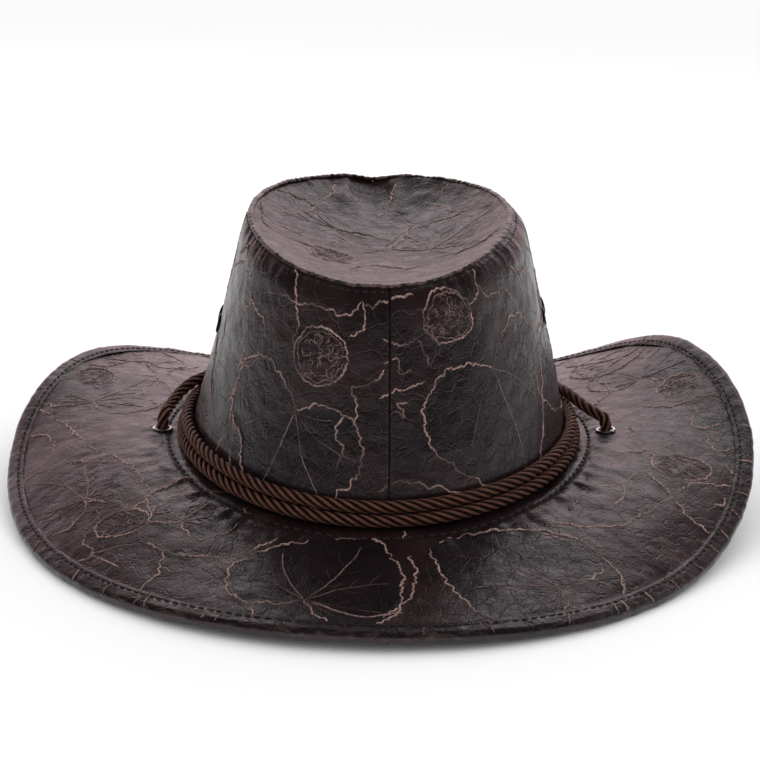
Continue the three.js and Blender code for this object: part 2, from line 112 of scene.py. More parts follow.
def bell(x, middle, width):
    """A smooth hump, 1 at its middle."""
    return np.exp(-(((x - middle) / width) ** 2))


def round_angles(count):
    """Even steps round a full turn."""
    return np.linspace(0, TURN, count, endpoint=False)


def round_spline(values, phi):
    """A uniform cubic B-spline round the oval through evenly spaced control values."""
    values = np.asarray(values, float)
    place = (np.asarray(phi) / TURN) % 1 * len(values)
    i = np.floor(place).astype(int)
    f = place - i
    before, here, after, beyond = (values[(i + k) % len(values)] for k in (-1, 0, 1, 2))
    total = (1 - f) ** 3 * before + (3 * f**3 - 6 * f**2 + 4) * here
    return (total + (-3 * f**3 + 3 * f**2 + 3 * f + 1) * after + f**3 * beyond) / 6


def outward(phi):
    return unit(stack(BASE["half_length"] * np.cos(phi), BASE["half_width"] * np.sin(phi), 0))


def on_left(phi):
    """How fully a place takes the press: 1 at the wearer's left, falling to 0 at the front and the back."""
    return np.maximum(0, -np.cos(phi)) ** 2


def foot(phi):
    height = BASE["height"] + BASE["side_rise"] * np.cos(2 * phi) + BASE["front_rise"] * np.sin(phi)
    oval = stack(BASE["half_width"] * np.cos(phi), BASE["half_length"] * np.sin(phi), height)
    return oval - outward(phi) * (LEFT_PRESS["foot"] * on_left(phi))[..., None]


def brim(phi, arc, lift=0.0):
    """The brim: arc is the way out from the crown, lift is the height above the upper face."""
    start = np.radians(BRIM_START_SLOPE["mean"] + BRIM_START_SLOPE["side"] * np.cos(2 * phi))
    turn = np.radians(round_spline(BRIM_EDGE_SLOPES, phi)) - start
    turn = np.where(np.abs(turn) < 1e-4, 1e-4, turn)
    slope = start + turn * arc / BRIM_WIDTH
    run = (np.sin(slope) - np.sin(start)) / turn * BRIM_WIDTH - lift * np.sin(slope)
    run = run + LEFT_PRESS["foot"] * on_left(phi) * arc / BRIM_WIDTH
    rise = (np.cos(start) - np.cos(slope)) / turn * BRIM_WIDTH + lift * np.cos(slope)
    point = foot(phi) + outward(phi) * np.asarray(run)[..., None]
    point[..., 2] += rise
    return point


def rim(phi):
    from_front = np.arctan2(np.cos(phi - SEAM_TURN), np.sin(phi - SEAM_TURN))
    pinch = RIM["pinch"] * bell(from_front, 0, RIM["pinch_spread"])
    height = RIM["height"] + RIM["front_rise"] * np.sin(phi) + RIM["side_rise"] * np.cos(2 * phi)
    along = RIM["half_length"] * np.sin(phi) - RIM["set_back"]
    return stack(RIM["half_width"] * np.cos(phi), along, height - pinch)


def wall(phi, t, lift=0.0):
    """The crown wall: t runs from the foot, 0, to the seam round the tip, 1."""
    phi, t = np.broadcast_arrays(np.asarray(phi, float), np.asarray(t, float))
    low, top = foot(phi), rim(phi)
    inward = (top - low) * [1, 1, 0]
    inward = unit(inward)
    pressed = on_left(phi)[..., None]
    press = 4 * LEFT_PRESS["wall"] * pressed
    corner = top - inward * (SHOULDER["out"] - LEFT_PRESS["shoulder"] * pressed) - [0, 0, SHOULDER["drop"]]
    bend = corner + (low - corner) * SHOULDER["round"]
    share = (t / SHOULDER["start"])[..., None]
    s = np.clip((t - SHOULDER["start"]) / (1 - SHOULDER["start"]), 0, 1)[..., None]
    curve = bend * (1 - s) ** 2 + 2 * corner * s * (1 - s) + top * s**2
    turning = (corner - bend) * (1 - s) + (top - corner) * s
    straight = share <= 1
    side = low + (bend - low) * share + inward * press * share * (1 - share)
    point = np.where(straight, side, curve)
    along = unit(np.where(straight, bend - low + inward * press * (1 - 2 * share), turning))
    normal = -inward * along[..., 2:]
    normal[..., 2] = (along * inward).sum(-1)
    return point + unit(normal) * np.asarray(lift)[..., None]


def tip(phi, rho, lift=0.0):
    """The dished tip: rho runs from the middle, 0, to the seam, 1."""
    edge = rim(phi)
    middle = RIM["height"] - TIP_DISH
    along = (edge[..., 1] + RIM["set_back"]) * rho - RIM["set_back"]
    return stack(edge[..., 0] * rho, along, middle + (edge[..., 2] - middle) * rho**2 + lift)


def binding(phi, along, lift=0.0):
    """The outer face of the edge binding: along runs from its inner upper edge over the roll."""
    width = BINDING["width"]
    angle = np.clip((along - width) / BINDING_RADIUS, 0, math.pi)
    beyond = np.maximum(along - width - math.pi * BINDING_RADIUS, 0)
    radius = BINDING_RADIUS + lift
    arc = EDGE_CENTRE + np.minimum(along - width, 0) + radius * np.sin(angle) - beyond
    return brim(phi, arc, radius * np.cos(angle) - BRIM_THICKNESS / 2)


def lowest_of_binding():
    phi = SEAM_TURN + np.arange(40) * TURN / 40
    flat = [(-BINDING["width"], BINDING_RADIUS), (-BINDING["width"], -BINDING_RADIUS)]
    turns = np.radians([-90, -45, 0, 45, 90])
    rolled = [(BINDING_RADIUS * math.cos(a), BINDING_RADIUS * math.sin(a)) for a in turns]
    return min(brim(phi, EDGE_CENTRE + a, b - BRIM_THICKNESS / 2)[:, 2].min() for a, b in flat + rolled)


LIFTED = lowest_of_binding()
BASE["height"] -= LIFTED
RIM["height"] -= LIFTED

# The bead lies on the hat's middle line, so its box places the oval in the model's frame.
BEAD_LOW, BEAD_HIGH = (np.array(corner) * 1000 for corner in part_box("slider_bead"))
ORIGIN = (BEAD_LOW + BEAD_HIGH) / 2 * [1, 1, 0] - [0, BEAD["at"], 0]


def world(points):
    """Millimetres about the oval's middle to metres in the model's frame."""
    return (np.asarray(points, float) + ORIGIN) / 1000


# ---- Camera ----------------------------------------------------------------------------------------

AIM = np.array([1.35, 0, 52.7 - LIFTED])
CAMERA = {"elevation": 15.53, "swing": 0.575, "roll": 1.3, "distance": 954.9, "lens": 102.65}


def add_camera():
    """A long lens behind the hat, a little above its brim."""
    rise, swing, roll = (math.radians(CAMERA[k]) for k in ("elevation", "swing", "roll"))
    back = Vector((math.sin(swing) * math.cos(rise), -math.cos(swing) * math.cos(rise), math.sin(rise)))
    right = Vector((0, 0, 1)).cross(back).normalized()
    up = back.cross(right)
    turned_right = math.cos(roll) * right + math.sin(roll) * up
    turned_up = back.cross(turned_right)
    data = bpy.data.cameras.new("camera")
    data.lens = CAMERA["lens"]
    data.sensor_width = 36
    camera = bpy.data.objects.new("camera", data)
    bpy.context.scene.collection.objects.link(camera)
    axes = Matrix((turned_right, turned_up, back)).transposed().to_4x4()
    place = Vector(world(AIM + np.array(back) * CAMERA["distance"]))
    camera.matrix_world = Matrix.Translation(place) @ axes
    bpy.context.scene.camera = camera


add_camera()

# ---- Making meshes ---------------------------------------------------------------------------------


class Noise:
    """Smooth seeded noise over a plane, repeating every 256 cells, between about -1 and 1."""

    def __init__(self, seed):
        self.table = np.random.default_rng(seed).uniform(-1, 1, (256, 256))

    def __call__(self, x, y):
        x, y = np.broadcast_arrays(np.asarray(x, float), np.asarray(y, float))
        i, j = np.floor(x).astype(int), np.floor(y).astype(int)
        fx, fy = x - i, y - j
        fx, fy = fx * fx * (3 - 2 * fx), fy * fy * (3 - 2 * fy)
        i0, i1, j0, j1 = i % 256, (i + 1) % 256, j % 256, (j + 1) % 256
        low = self.table[i0, j0] * (1 - fx) + self.table[i1, j0] * fx
        high = self.table[i0, j1] * (1 - fx) + self.table[i1, j1] * fx
        return low * (1 - fy) + high * fy


def make_mesh(name, points, faces, attributes=None, smooth=True):
    """A mesh object from millimetre points, with one number per corner for each attribute."""
    mesh = bpy.data.meshes.new(name)
    mesh.from_pydata(world(points).tolist(), [], faces)
    for key, values in (attributes or {}).items():
        layer = mesh.attributes.new(key, "FLOAT", "POINT")
        layer.data.foreach_set("value", np.asarray(values, np.float32).ravel())
    mesh.polygons.foreach_set("use_smooth", np.full(len(mesh.polygons), smooth))
    mesh.update()
    made = bpy.data.objects.new(name, mesh)
    bpy.context.scene.collection.objects.link(made)
    return made


def grid_faces(rows, columns, wrap_rows=False, wrap_columns=False):
    """Quads over a rows by columns grid of points, as an array."""
    r = np.arange(rows if wrap_rows else rows - 1)[:, None]
    c = np.arange(columns if wrap_columns else columns - 1)[None, :]
    r1, c1 = (r + 1) % rows, (c + 1) % columns
    quads = [r * columns + c, r * columns + c1, r1 * columns + c1, r1 * columns + c]
    return np.stack(np.broadcast_arrays(*quads), axis=-1).reshape(-1, 4)


class Builder:
    """Gathers grids of points into one mesh."""

    def __init__(self, *keys):
        self.points, self.faces, self.count = [], [], 0
        self.values = {key: [] for key in keys}

    def add(self, points, faces, **values):
        points = np.asarray(points, float).reshape(-1, 3)
        self.faces += (np.asarray(faces) + self.count).tolist()
        self.points.append(points)
        self.count += len(points)
        for key, gathered in self.values.items():
            given = np.broadcast_to(np.asarray(values.get(key, 0.0), float).ravel(), (len(points),))
            gathered.append(given)

    def grid(self, points, wrap_rows=False, wrap_columns=False, **values):
        rows, columns = points.shape[:2]
        self.add(points, grid_faces(rows, columns, wrap_rows, wrap_columns), **values)

    def cap(self, points):
        """A flat many-sided face."""
        self.add(points, [range(len(points))])

    def made(self, name):
        joined = {key: np.concatenate(v) for key, v in self.values.items()}
        return make_mesh(name, np.concatenate(self.points), self.faces, joined)


def smooth_path(points, step, closed=False):
    """A centripetal Catmull-Rom curve through points, resampled at an even step."""
    points = np.asarray(points, float)
    if closed:
        extended = np.concatenate([points[-1:], points, points[:2]])
    else:
        before, after = 2 * points[0] - points[1], 2 * points[-1] - points[-2]
        extended = np.concatenate([[before], points, [after]])
    pieces = []
    for a, b, c, d in zip(extended, extended[1:], extended[2:], extended[3:]):
        ab, bc, cd = (max(np.linalg.norm(q - p), 1e-6) ** 0.5 for p, q in ((a, b), (b, c), (c, d)))
        start = ((b - a) / ab - (c - a) / (ab + bc) + (c - b) / bc) * bc
        end = ((c - b) / bc - (d - b) / (bc + cd) + (d - c) / cd) * bc
        t = np.linspace(0, 1, 24, endpoint=False)[:, None]
        curve = (2 * t**3 - 3 * t**2 + 1) * b + (t**3 - 2 * t**2 + t) * start
        pieces.append(curve + (3 * t**2 - 2 * t**3) * c + (t**3 - t**2) * end)
    last = points[:1] if closed else points[-1:]
    curve = np.concatenate(pieces + [last])
    return even_path(curve, step, closed)


def even_path(curve, step, closed=False):
    length = np.concatenate([[0], np.cumsum(np.linalg.norm(np.diff(curve, axis=0), axis=1))])
    count = max(int(round(length[-1] / step)), 3)
    places = np.linspace(0, length[-1], count if closed else count + 1, endpoint=not closed)
    return np.stack([np.interp(places, length, curve[:, k]) for k in range(curve.shape[1])], axis=-1)


def carried_frames(path, closed):
    """Two directions across a path that turn as little as possible along it."""
    ahead = np.roll(path, -1, axis=0) - np.roll(path, 1, axis=0)
    if not closed:
        ahead[0], ahead[-1] = path[1] - path[0], path[-1] - path[-2]
    ahead = unit(ahead)
    side = np.cross(ahead[0], [0, 0, 1] if abs(ahead[0][2]) < 0.9 else [1, 0, 0])
    sides = []
    for direction in ahead:
        side = side - direction * side.dot(direction)
        side = side / np.linalg.norm(side)
        sides.append(side)
    sides = np.array(sides)
    others = np.cross(ahead, sides)
    if closed:
        landed = sides[-1] - ahead[0] * sides[-1].dot(ahead[0])
        missing = math.atan2(landed.dot(others[0]), landed.dot(sides[0]))
        turn = (-missing * np.arange(len(path)) / len(path))[:, None]
        sides, others = (
            sides * np.cos(turn) + others * np.sin(turn),
            others * np.cos(turn) - sides * np.sin(turn),
        )
    return sides, others


# ---- Cords -----------------------------------------------------------------------------------------

STRANDS = 5
LAY = 24.0  # length of one turn of the rope
STRAND_CENTRE = 1.62
STRAND_RADIUS = 0.98
ROPE_STEP = 0.62
SIDES_PER_STRAND = 8


def rope_section():
    """Radius and angle round one rope's section, from groove to groove, and how near each is a crest."""
    half = math.pi / STRANDS
    local = np.linspace(-half, half, SIDES_PER_STRAND, endpoint=False)
    radius = STRAND_CENTRE * np.cos(local)
    radius = radius + np.sqrt(STRAND_RADIUS**2 - (STRAND_CENTRE * np.sin(local)) ** 2)
    angle = np.concatenate([local + 2 * half * k for k in range(STRANDS)])
    crest = 1 - np.abs(local) / half
    strand = local / half
    return np.tile(radius, STRANDS), angle, np.tile(crest, STRANDS), np.tile(strand, STRANDS)


def rope(name, path, closed=False, scale=1.0):
    """A twisted rope along a path."""
    radius, angle, crest, strand = rope_section()
    sides, others = carried_frames(path, closed)
    steps = np.linalg.norm(np.diff(path, axis=0), axis=1)
    along = np.concatenate([[0], np.cumsum(steps)])
    lay = LAY
    if closed:
        whole = along[-1] + np.linalg.norm(path[0] - path[-1])
        lay = whole / (round(whole / LAY * STRANDS) / STRANDS)
    turned = angle[None, :] + (TURN * along / lay)[:, None]
    fluff = Noise(71)(along[:, None] / 2.1, turned * 2)
    reach = scale * radius[None, :] * (1 + 0.02 * fluff)
    points = path[:, None] + (sides[:, None] * np.cos(turned)[..., None]
                              + others[:, None] * np.sin(turned)[..., None]) * reach[..., None]
    rope_mesh = Builder("crest", "fibre", "along")
    rows = np.broadcast_to(along[:, None], turned.shape)
    values = {"crest": np.broadcast_to(crest, turned.shape), "along": rows / lay}
    values["fibre"] = np.broadcast_to(strand, turned.shape)
    rope_mesh.grid(points, wrap_rows=closed, wrap_columns=True, **values)
    if not closed:
        rope_mesh.cap(points[0][::-1])
        rope_mesh.cap(points[-1])
    return rope_mesh.made(name)


def beside(degrees, out, up):
    """A cord's centre beside the foot of the crown: out from the wall's foot, up from its height."""
    phi = math.radians(degrees)
    return foot(phi) + outward(phi) * out + [0, 0, up]


def mirrored(route):
    return [(180 - degrees, out, up) for degrees, out, up in reversed(route)]


def eyelet_frame(side):
    """The place of a brim eyelet and the upward normal there."""
    angle, out = EYELET_PLACES[side]
    point = brim(math.radians(angle), out)
    return point, unit(brim(math.radians(angle), out, 1.0) - point)


def above_eyelet(side, height):
    point, normal = eyelet_frame(side)
    return point + normal * height


LOWER_RUN = (2.6, 3.2)
UPPER_RUN = (0.9, 8.5)
SPLIT_DEPTH = 1.6
EYE = [
    (23, *LOWER_RUN), (29, 2.8, 3.2), (33, 3.6, 3.1), (36.5, 6.4, 3.6), (39.6, 8.8, 6),
    (41, 9.4, 9.2), (39.6, 9.2, 12.6), (36.5, 8.4, 13), (33, 6, 10.8), (29.6, 2.4, 8.8),
    (23, *UPPER_RUN),
]
RIGHT_CROSSING = [
    (0.9, 15.7, 7.7), (2.5, 12.2, 9), (4.8, 8.4, 10.4), (8, 4.8, 12.3), (12, 1.6, 13.8),
    (16.5, -0.6, 14),
]
LEFT_CROSSING = [
    (-3.8, 10.9, 7.2), (0.5, 9.6, 7.9), (5, 8.3, 9), (9.5, 6.4, 11), (13.5, 3, 13.3),
    (17.5, -0.2, 14),
]
THROUGH_EYE = [
    (22, -0.6, 14), (27, -0.5, 14), (30, -0.5, 13.8), (32.4, -0.4, 13), (34.5, 0.2, 11.4),
    (37, 1.2, 9.4), (40, 2.2, 7.6), (44, 2.3, 6.2), (50, 2.5, 4.4), (57, LOWER_RUN[0], 3.5),
]


def back_loop_path():
    """Two runs round the back of the crown, joined by an eye ahead of each side."""
    angles = [10 - 200 * i / 14 for i in range(15)]
    upper = [(a, *UPPER_RUN) for a in angles]
    lower = [(a, *LOWER_RUN) for a in reversed(angles)]
    route = EYE + upper + mirrored(EYE) + lower
    return smooth_path([beside(*at) for at in route], ROPE_STEP, closed=True)


def front_cord_path():
    """Up out of an eyelet, over both runs, through the eye and on round the front of the crown."""
    front = [(66 + 12 * i, LOWER_RUN[0], 3.4) for i in range(5)]
    route = RIGHT_CROSSING + THROUGH_EYE + front + mirrored(LEFT_CROSSING + THROUGH_EYE)
    points = [above_eyelet("right", height) for height in (-SPLIT_DEPTH, 1, 3.3)]
    points += [beside(*at) for at in route]
    points += [above_eyelet("left", height) for height in (3, 1, -SPLIT_DEPTH)]
    return smooth_path(points, ROPE_STEP)


LAID = CORD_RADIUS + 0.2
BEAD_HEIGHT = BEAD["height"] / 2 + 0.2
BEAD_END = 0.9  # how full the bead is at its ends
HALF_SPACING = BEAD["spacing"] / 2
CHIN_ROUTE = [
    (99.5, -5.6, 18), (96.5, -7.5, 9.5), (91, -12.5, 4.2), (85, -22, LAID), (78, -38, LAID),
    (66, -53, LAID), (50, -58, LAID), (37, -49, LAID), (33, -33, LAID), (38, -14, LAID),
    (50, 6, LAID), (59, 27, LAID), (57, 48, LAID), (44, 62, LAID), (27, 64, LAID), (14, 54, LAID),
    (7.5, 39, LAID + 0.3), (4.2, 26, 4), (HALF_SPACING, 15, BEAD_HEIGHT),
    (HALF_SPACING, 0, BEAD_HEIGHT), (HALF_SPACING, -20, BEAD_HEIGHT),
    (HALF_SPACING, -40, BEAD_HEIGHT), (HALF_SPACING, TAIL_END, BEAD_HEIGHT),
]


def chin_cord_path(side):
    sign = 1 if side == "right" else -1
    points = [above_eyelet(side, -SPLIT_DEPTH - GAP), above_eyelet(side, -SPLIT_DEPTH - 7)]
    points += [np.array([sign * x, y, z]) for x, y, z in CHIN_ROUTE]
    return smooth_path(points, ROPE_STEP)


# ---- Materials -------------------------------------------------------------------------------------


class Nodes:
    """A node tree with short ways to add to it."""

    def __init__(self, tree):
        self.tree = tree

    def add(self, kind, inputs=None, **settings):
        node = self.tree.nodes.new(kind)
        for key, value in settings.items():
            setattr(node, key, value)
        for key, value in (inputs or {}).items():
            if isinstance(value, bpy.types.NodeSocket):
                self.tree.links.new(value, node.inputs[key])
            else:
                node.inputs[key].default_value = value
        return node

    def ramp(self, value, low, high, out_low=0.0, out_high=1.0):
        inputs = {"Value": value, "From Min": low, "From Max": high, "To Min": out_low, "To Max": out_high}
        return self.add("ShaderNodeMapRange", inputs, interpolation_type="SMOOTHSTEP").outputs[0]

    def math(self, operation, a, b):
        return self.add("ShaderNodeMath", {0: a, 1: b}, operation=operation).outputs[0]

    def mix(self, share, a, b):
        """A colour between a and b."""
        a, b = (colour if isinstance(colour, bpy.types.NodeSocket) else (*colour, 1) for colour in (a, b))
        return self.add("ShaderNodeMix", {0: share, 6: a, 7: b}, data_type="RGBA").outputs[2]


class Finish(Nodes):
    """A material with a Principled shader. Sizes are in millimetres."""

    def __init__(self, name, **shader):
        self.material = bpy.data.materials.new(name)
        self.material.use_nodes = True
        super().__init__(self.material.node_tree)
        self.bsdf = self.tree.nodes["Principled BSDF"]
        self.coordinates = self.add("ShaderNodeTexCoord").outputs["Object"]
        for key, value in shader.items():
            value = (*value, 1) if isinstance(value, tuple) else value
            self.bsdf.inputs[key.replace("_", " ")].default_value = value

    def attribute(self, name):
        return self.add("ShaderNodeAttribute", attribute_name=name).outputs["Fac"]

    def noise(self, size, detail=3.0, vector=None, distortion=0.0):
        """Noise with features of a size in millimetres."""
        inputs = {"Vector": vector or self.coordinates, "Scale": 1000 / size, "Detail": detail}
        return self.add("ShaderNodeTexNoise", {**inputs, "Distortion": distortion}).outputs["Fac"]

    def cells(self, size, feature="F1", vector=None):
        inputs = {"Vector": vector or self.coordinates, "Scale": 1000 / size}
        return self.add("ShaderNodeTexVoronoi", inputs, feature=feature).outputs["Distance"]

    def warped(self, size, amount):
        """Object coordinates pushed about by noise, amount in millimetres."""
        inputs = {"Vector": self.coordinates, "Scale": 1000 / size, "Detail": 2.0}
        push = self.add("ShaderNodeTexNoise", inputs).outputs["Color"]
        scaled = self.add("ShaderNodeVectorMath", {0: push, "Scale": amount / 1000}, operation="SCALE")
        both = {0: self.coordinates, 1: scaled.outputs[0]}
        return self.add("ShaderNodeVectorMath", both, operation="ADD").outputs[0]

    def colour(self, value):
        self.tree.links.new(value, self.bsdf.inputs["Base Color"])

    def roughness(self, value):
        self.tree.links.new(value, self.bsdf.inputs["Roughness"])

    def bumps(self, *layers):
        """Bump layers as (height, depth in millimetres)."""
        normal = None
        for height, depth in layers:
            inputs = {"Height": height, "Distance": depth / 1000, "Strength": 1.0}
            if normal is not None:
                inputs["Normal"] = normal
            normal = self.add("ShaderNodeBump", inputs).outputs["Normal"]
        self.tree.links.new(normal, self.bsdf.inputs["Normal"])


def embossed_leather():
    """Dark plum-brown leather: near-black leaves, redder ground, tan worn ridges, fine creases; the same tan
    also paints highlights on the tip's welt and the edge binding.
    """
    finish = Finish("embossed_leather", Specular_IOR_Level=0.5, Specular_Tint=(1.0, 0.88, 0.92),
                    Coat_Weight=0.1, Coat_Roughness=0.2)
    leaf, ridge = finish.attribute("leaf"), finish.attribute("ridge")
    patches = finish.ramp(finish.noise(22, 5), 0.35, 0.66)
    ground = finish.mix(patches, (0.0062, 0.0026, 0.0032), (0.0145, 0.0058, 0.0064))
    inside = finish.mix(patches, (0.0036, 0.0022, 0.0032), (0.0078, 0.0042, 0.0052))
    base = finish.mix(leaf, ground, inside)
    fleck = finish.ramp(finish.noise(0.9, 4), 0.32, 0.6, 0.2, 1.0)
    # The tan of worn ridges, which the welt and the binding also take in part as a painted highlight.
    wear_and_painted_highlight = finish.mix(fleck, (0.06, 0.03, 0.028), (0.46, 0.29, 0.25))
    finish.colour(finish.mix(ridge, base, wear_and_painted_highlight))
    satin = finish.ramp(finish.noise(7, 5), 0.3, 0.7, 0.26, 0.4)
    finish.roughness(finish.math("ADD", satin, finish.math("MULTIPLY", ridge, 0.14)))
    creased = finish.warped(9, 8.0)
    creases = finish.ramp(finish.cells(8.5, "DISTANCE_TO_EDGE", creased), 0.0, 0.05)
    small = finish.ramp(finish.cells(2.3, "DISTANCE_TO_EDGE", finish.warped(3, 2.0)), 0.0, 0.12)
    grain = finish.cells(0.7)
    finish.bumps((finish.noise(4.5, 4), 0.34), (creases, 0.11), (small, 0.04), (grain, 0.045))
    return finish.material


def plain_leather(name, dark, light, rough):
    finish = Finish(name, Specular_IOR_Level=0.45)
    finish.colour(finish.mix(finish.ramp(finish.noise(18, 4), 0.3, 0.7), dark, light))
    finish.roughness(finish.ramp(finish.noise(6, 4), 0.3, 0.7, rough - 0.06, rough + 0.08))
    pores = finish.ramp(finish.cells(1.1, "DISTANCE_TO_EDGE", finish.warped(2, 0.8)), 0.0, 0.16)
    finish.bumps((finish.noise(7, 3), 0.2), (pores, 0.07))
    return finish.material


def woven_cloth():
    """Lining: a fine plain weave with a satin face."""
    finish = Finish("lining_cloth", Specular_IOR_Level=0.3, Sheen_Weight=0.25)
    inputs = {"Vector": finish.coordinates, "Scale": 320.0}
    waves = [finish.add("ShaderNodeTexWave", inputs, bands_direction=way).outputs["Fac"] for way in "ZX"]
    weave = finish.math("MAXIMUM", *waves)
    finish.colour(finish.mix(weave, (0.008, 0.007, 0.008), (0.028, 0.023, 0.026)))
    finish.roughness(finish.ramp(finish.noise(4), 0.3, 0.7, 0.6, 0.75))
    finish.bumps((finish.noise(12), 0.4), (weave, 0.12))
    return finish.material


def twisted_satin():
    """Strands of shiny thread, golden brown on the crests, with painted shade taking them to near black in
    the grooves.
    """
    finish = Finish("twisted_cord", Specular_IOR_Level=0.45, Specular_Tint=(1.0, 0.74, 0.66))
    crest, fibre, along = (finish.attribute(key) for key in ("crest", "fibre", "along"))
    lean = finish.math("ADD", finish.math("MULTIPLY", fibre, 2.6), finish.math("MULTIPLY", along, 1.6))
    place = finish.add("ShaderNodeCombineXYZ", {"X": lean, "Y": finish.math("MULTIPLY", along, 0.6)})
    threads = finish.add("ShaderNodeTexNoise", {"Vector": place.outputs[0], "Scale": 9.0, "Detail": 4.0})
    threads = finish.ramp(threads.outputs["Fac"], 0.32, 0.68)
    lit = finish.mix(threads, (0.062, 0.021, 0.016), (0.24, 0.1, 0.07))
    # Painted shade: the colour falls to near black toward the grooves between strands.
    painted_groove_shade_ramp = finish.ramp(crest, 0.15, 0.95)
    finish.colour(finish.mix(painted_groove_shade_ramp, (0.003, 0.0009, 0.0008), lit))
    finish.roughness(finish.ramp(threads, 0.0, 1.0, 0.5, 0.34))
    finish.bumps((threads, 0.16), (finish.noise(0.5), 0.05))
    return finish.material


def metal(name, colour, rough, scratch):
    finish = Finish(name, Metallic=1.0)
    dull = tuple(0.72 * c for c in colour)
    finish.colour(finish.mix(finish.ramp(finish.noise(3), 0.35, 0.7), dull, colour))
    finish.roughness(finish.ramp(finish.noise(1.2, 5), 0.3, 0.7, rough, rough + scratch))
    finish.bumps((finish.noise(0.6, 5), 0.01))
    return finish.material


def fibre_board():
    finish = Finish("stiffener", Specular_IOR_Level=0.3)
    finish.colour(finish.mix(finish.noise(1.5, 6), (0.03, 0.028, 0.026), (0.075, 0.07, 0.062)))
    finish.roughness(finish.ramp(finish.noise(2), 0.3, 0.7, 0.75, 0.9))
    finish.bumps((finish.noise(0.7, 5), 0.1))
    return finish.material


def sewing_thread():
    finish = Finish("sewing_thread", Specular_IOR_Level=0.4)
    twist = finish.noise(0.35, 2)
    finish.colour(finish.mix(twist, (0.006, 0.005, 0.006), (0.03, 0.022, 0.022)))
    finish.roughness(finish.ramp(twist, 0.3, 0.7, 0.45, 0.62))
    finish.bumps((twist, 0.06))
    return finish.material


def stained_wood():
    finish = Finish("bead", Specular_IOR_Level=0.5, Coat_Weight=0.5, Coat_Roughness=0.15)
    stretched = finish.add("ShaderNodeMapping", {"Vector": finish.coordinates, "Scale": (1, 0.12, 1)})
    grain = finish.ramp(finish.noise(0.9, 5, stretched.outputs[0], 0.6), 0.35, 0.65)
    finish.colour(finish.mix(grain, (0.022, 0.009, 0.005), (0.07, 0.03, 0.016)))
    finish.roughness(finish.ramp(grain, 0.0, 1.0, 0.42, 0.3))
    finish.bumps((grain, 0.04))
    return finish.material


UNDER_BRIM = ("under_brim_leather", (0.009, 0.0055, 0.006), (0.018, 0.011, 0.011), 0.44)
SWEATBAND_HIDE = ("sweatband_leather", (0.026, 0.013, 0.009), (0.048, 0.025, 0.017), 0.5)
MATERIALS = {
    "embossed_leather": embossed_leather(),
    "under_brim_leather": plain_leather(*UNDER_BRIM),
    "sweatband_leather": plain_leather(*SWEATBAND_HIDE),
    "lining_cloth": woven_cloth(),
    "twisted_cord": twisted_satin(),
    "bright_eyelet": metal("bright_eyelet", (0.82, 0.82, 0.84), 0.14, 0.12),
    "dark_vent": metal("dark_vent", (0.045, 0.04, 0.042), 0.25, 0.15),
    "spring_wire": metal("spring_wire", (0.5, 0.51, 0.53), 0.3, 0.1),
    "stiffener": fibre_board(),
    "bead": stained_wood(),
    "sewing_thread": sewing_thread(),
}


def cover(piece, material):
    piece.data.materials.clear()
    piece.data.materials.append(MATERIALS[material])


def dress(piece, slot, *nodes, body="hat", material=None):
    """Gives a piece its material (the slot's, unless another is named) and its body, and hides the CAD nodes
    that it stands for.
    """
    cover(piece, material or slot)
    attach(piece, body)
    if nodes:
        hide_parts(*nodes)


def turned_ring(name, profile, point, normal):
    """A turned ring from a closed profile of (radius, height), its axis along a normal."""
    side = unit(np.cross(normal, [0, 1, 0]))
    other = np.cross(normal, side)
    a = round_angles(40)[:, None]
    radius, height = np.array(profile, float).T
    around = side * np.cos(a)[..., None] + other * np.sin(a)[..., None]
    points = point + around * radius[None, :, None] + normal * height[None, :, None]
    ring = Builder()
    ring.grid(points, wrap_rows=True, wrap_columns=True)
    return ring.made(name)


# ---- Embossed pattern ------------------------------------------------------------------------------

STEP = 0.42  # along an embossed line
SQUIGGLE = Noise(5)


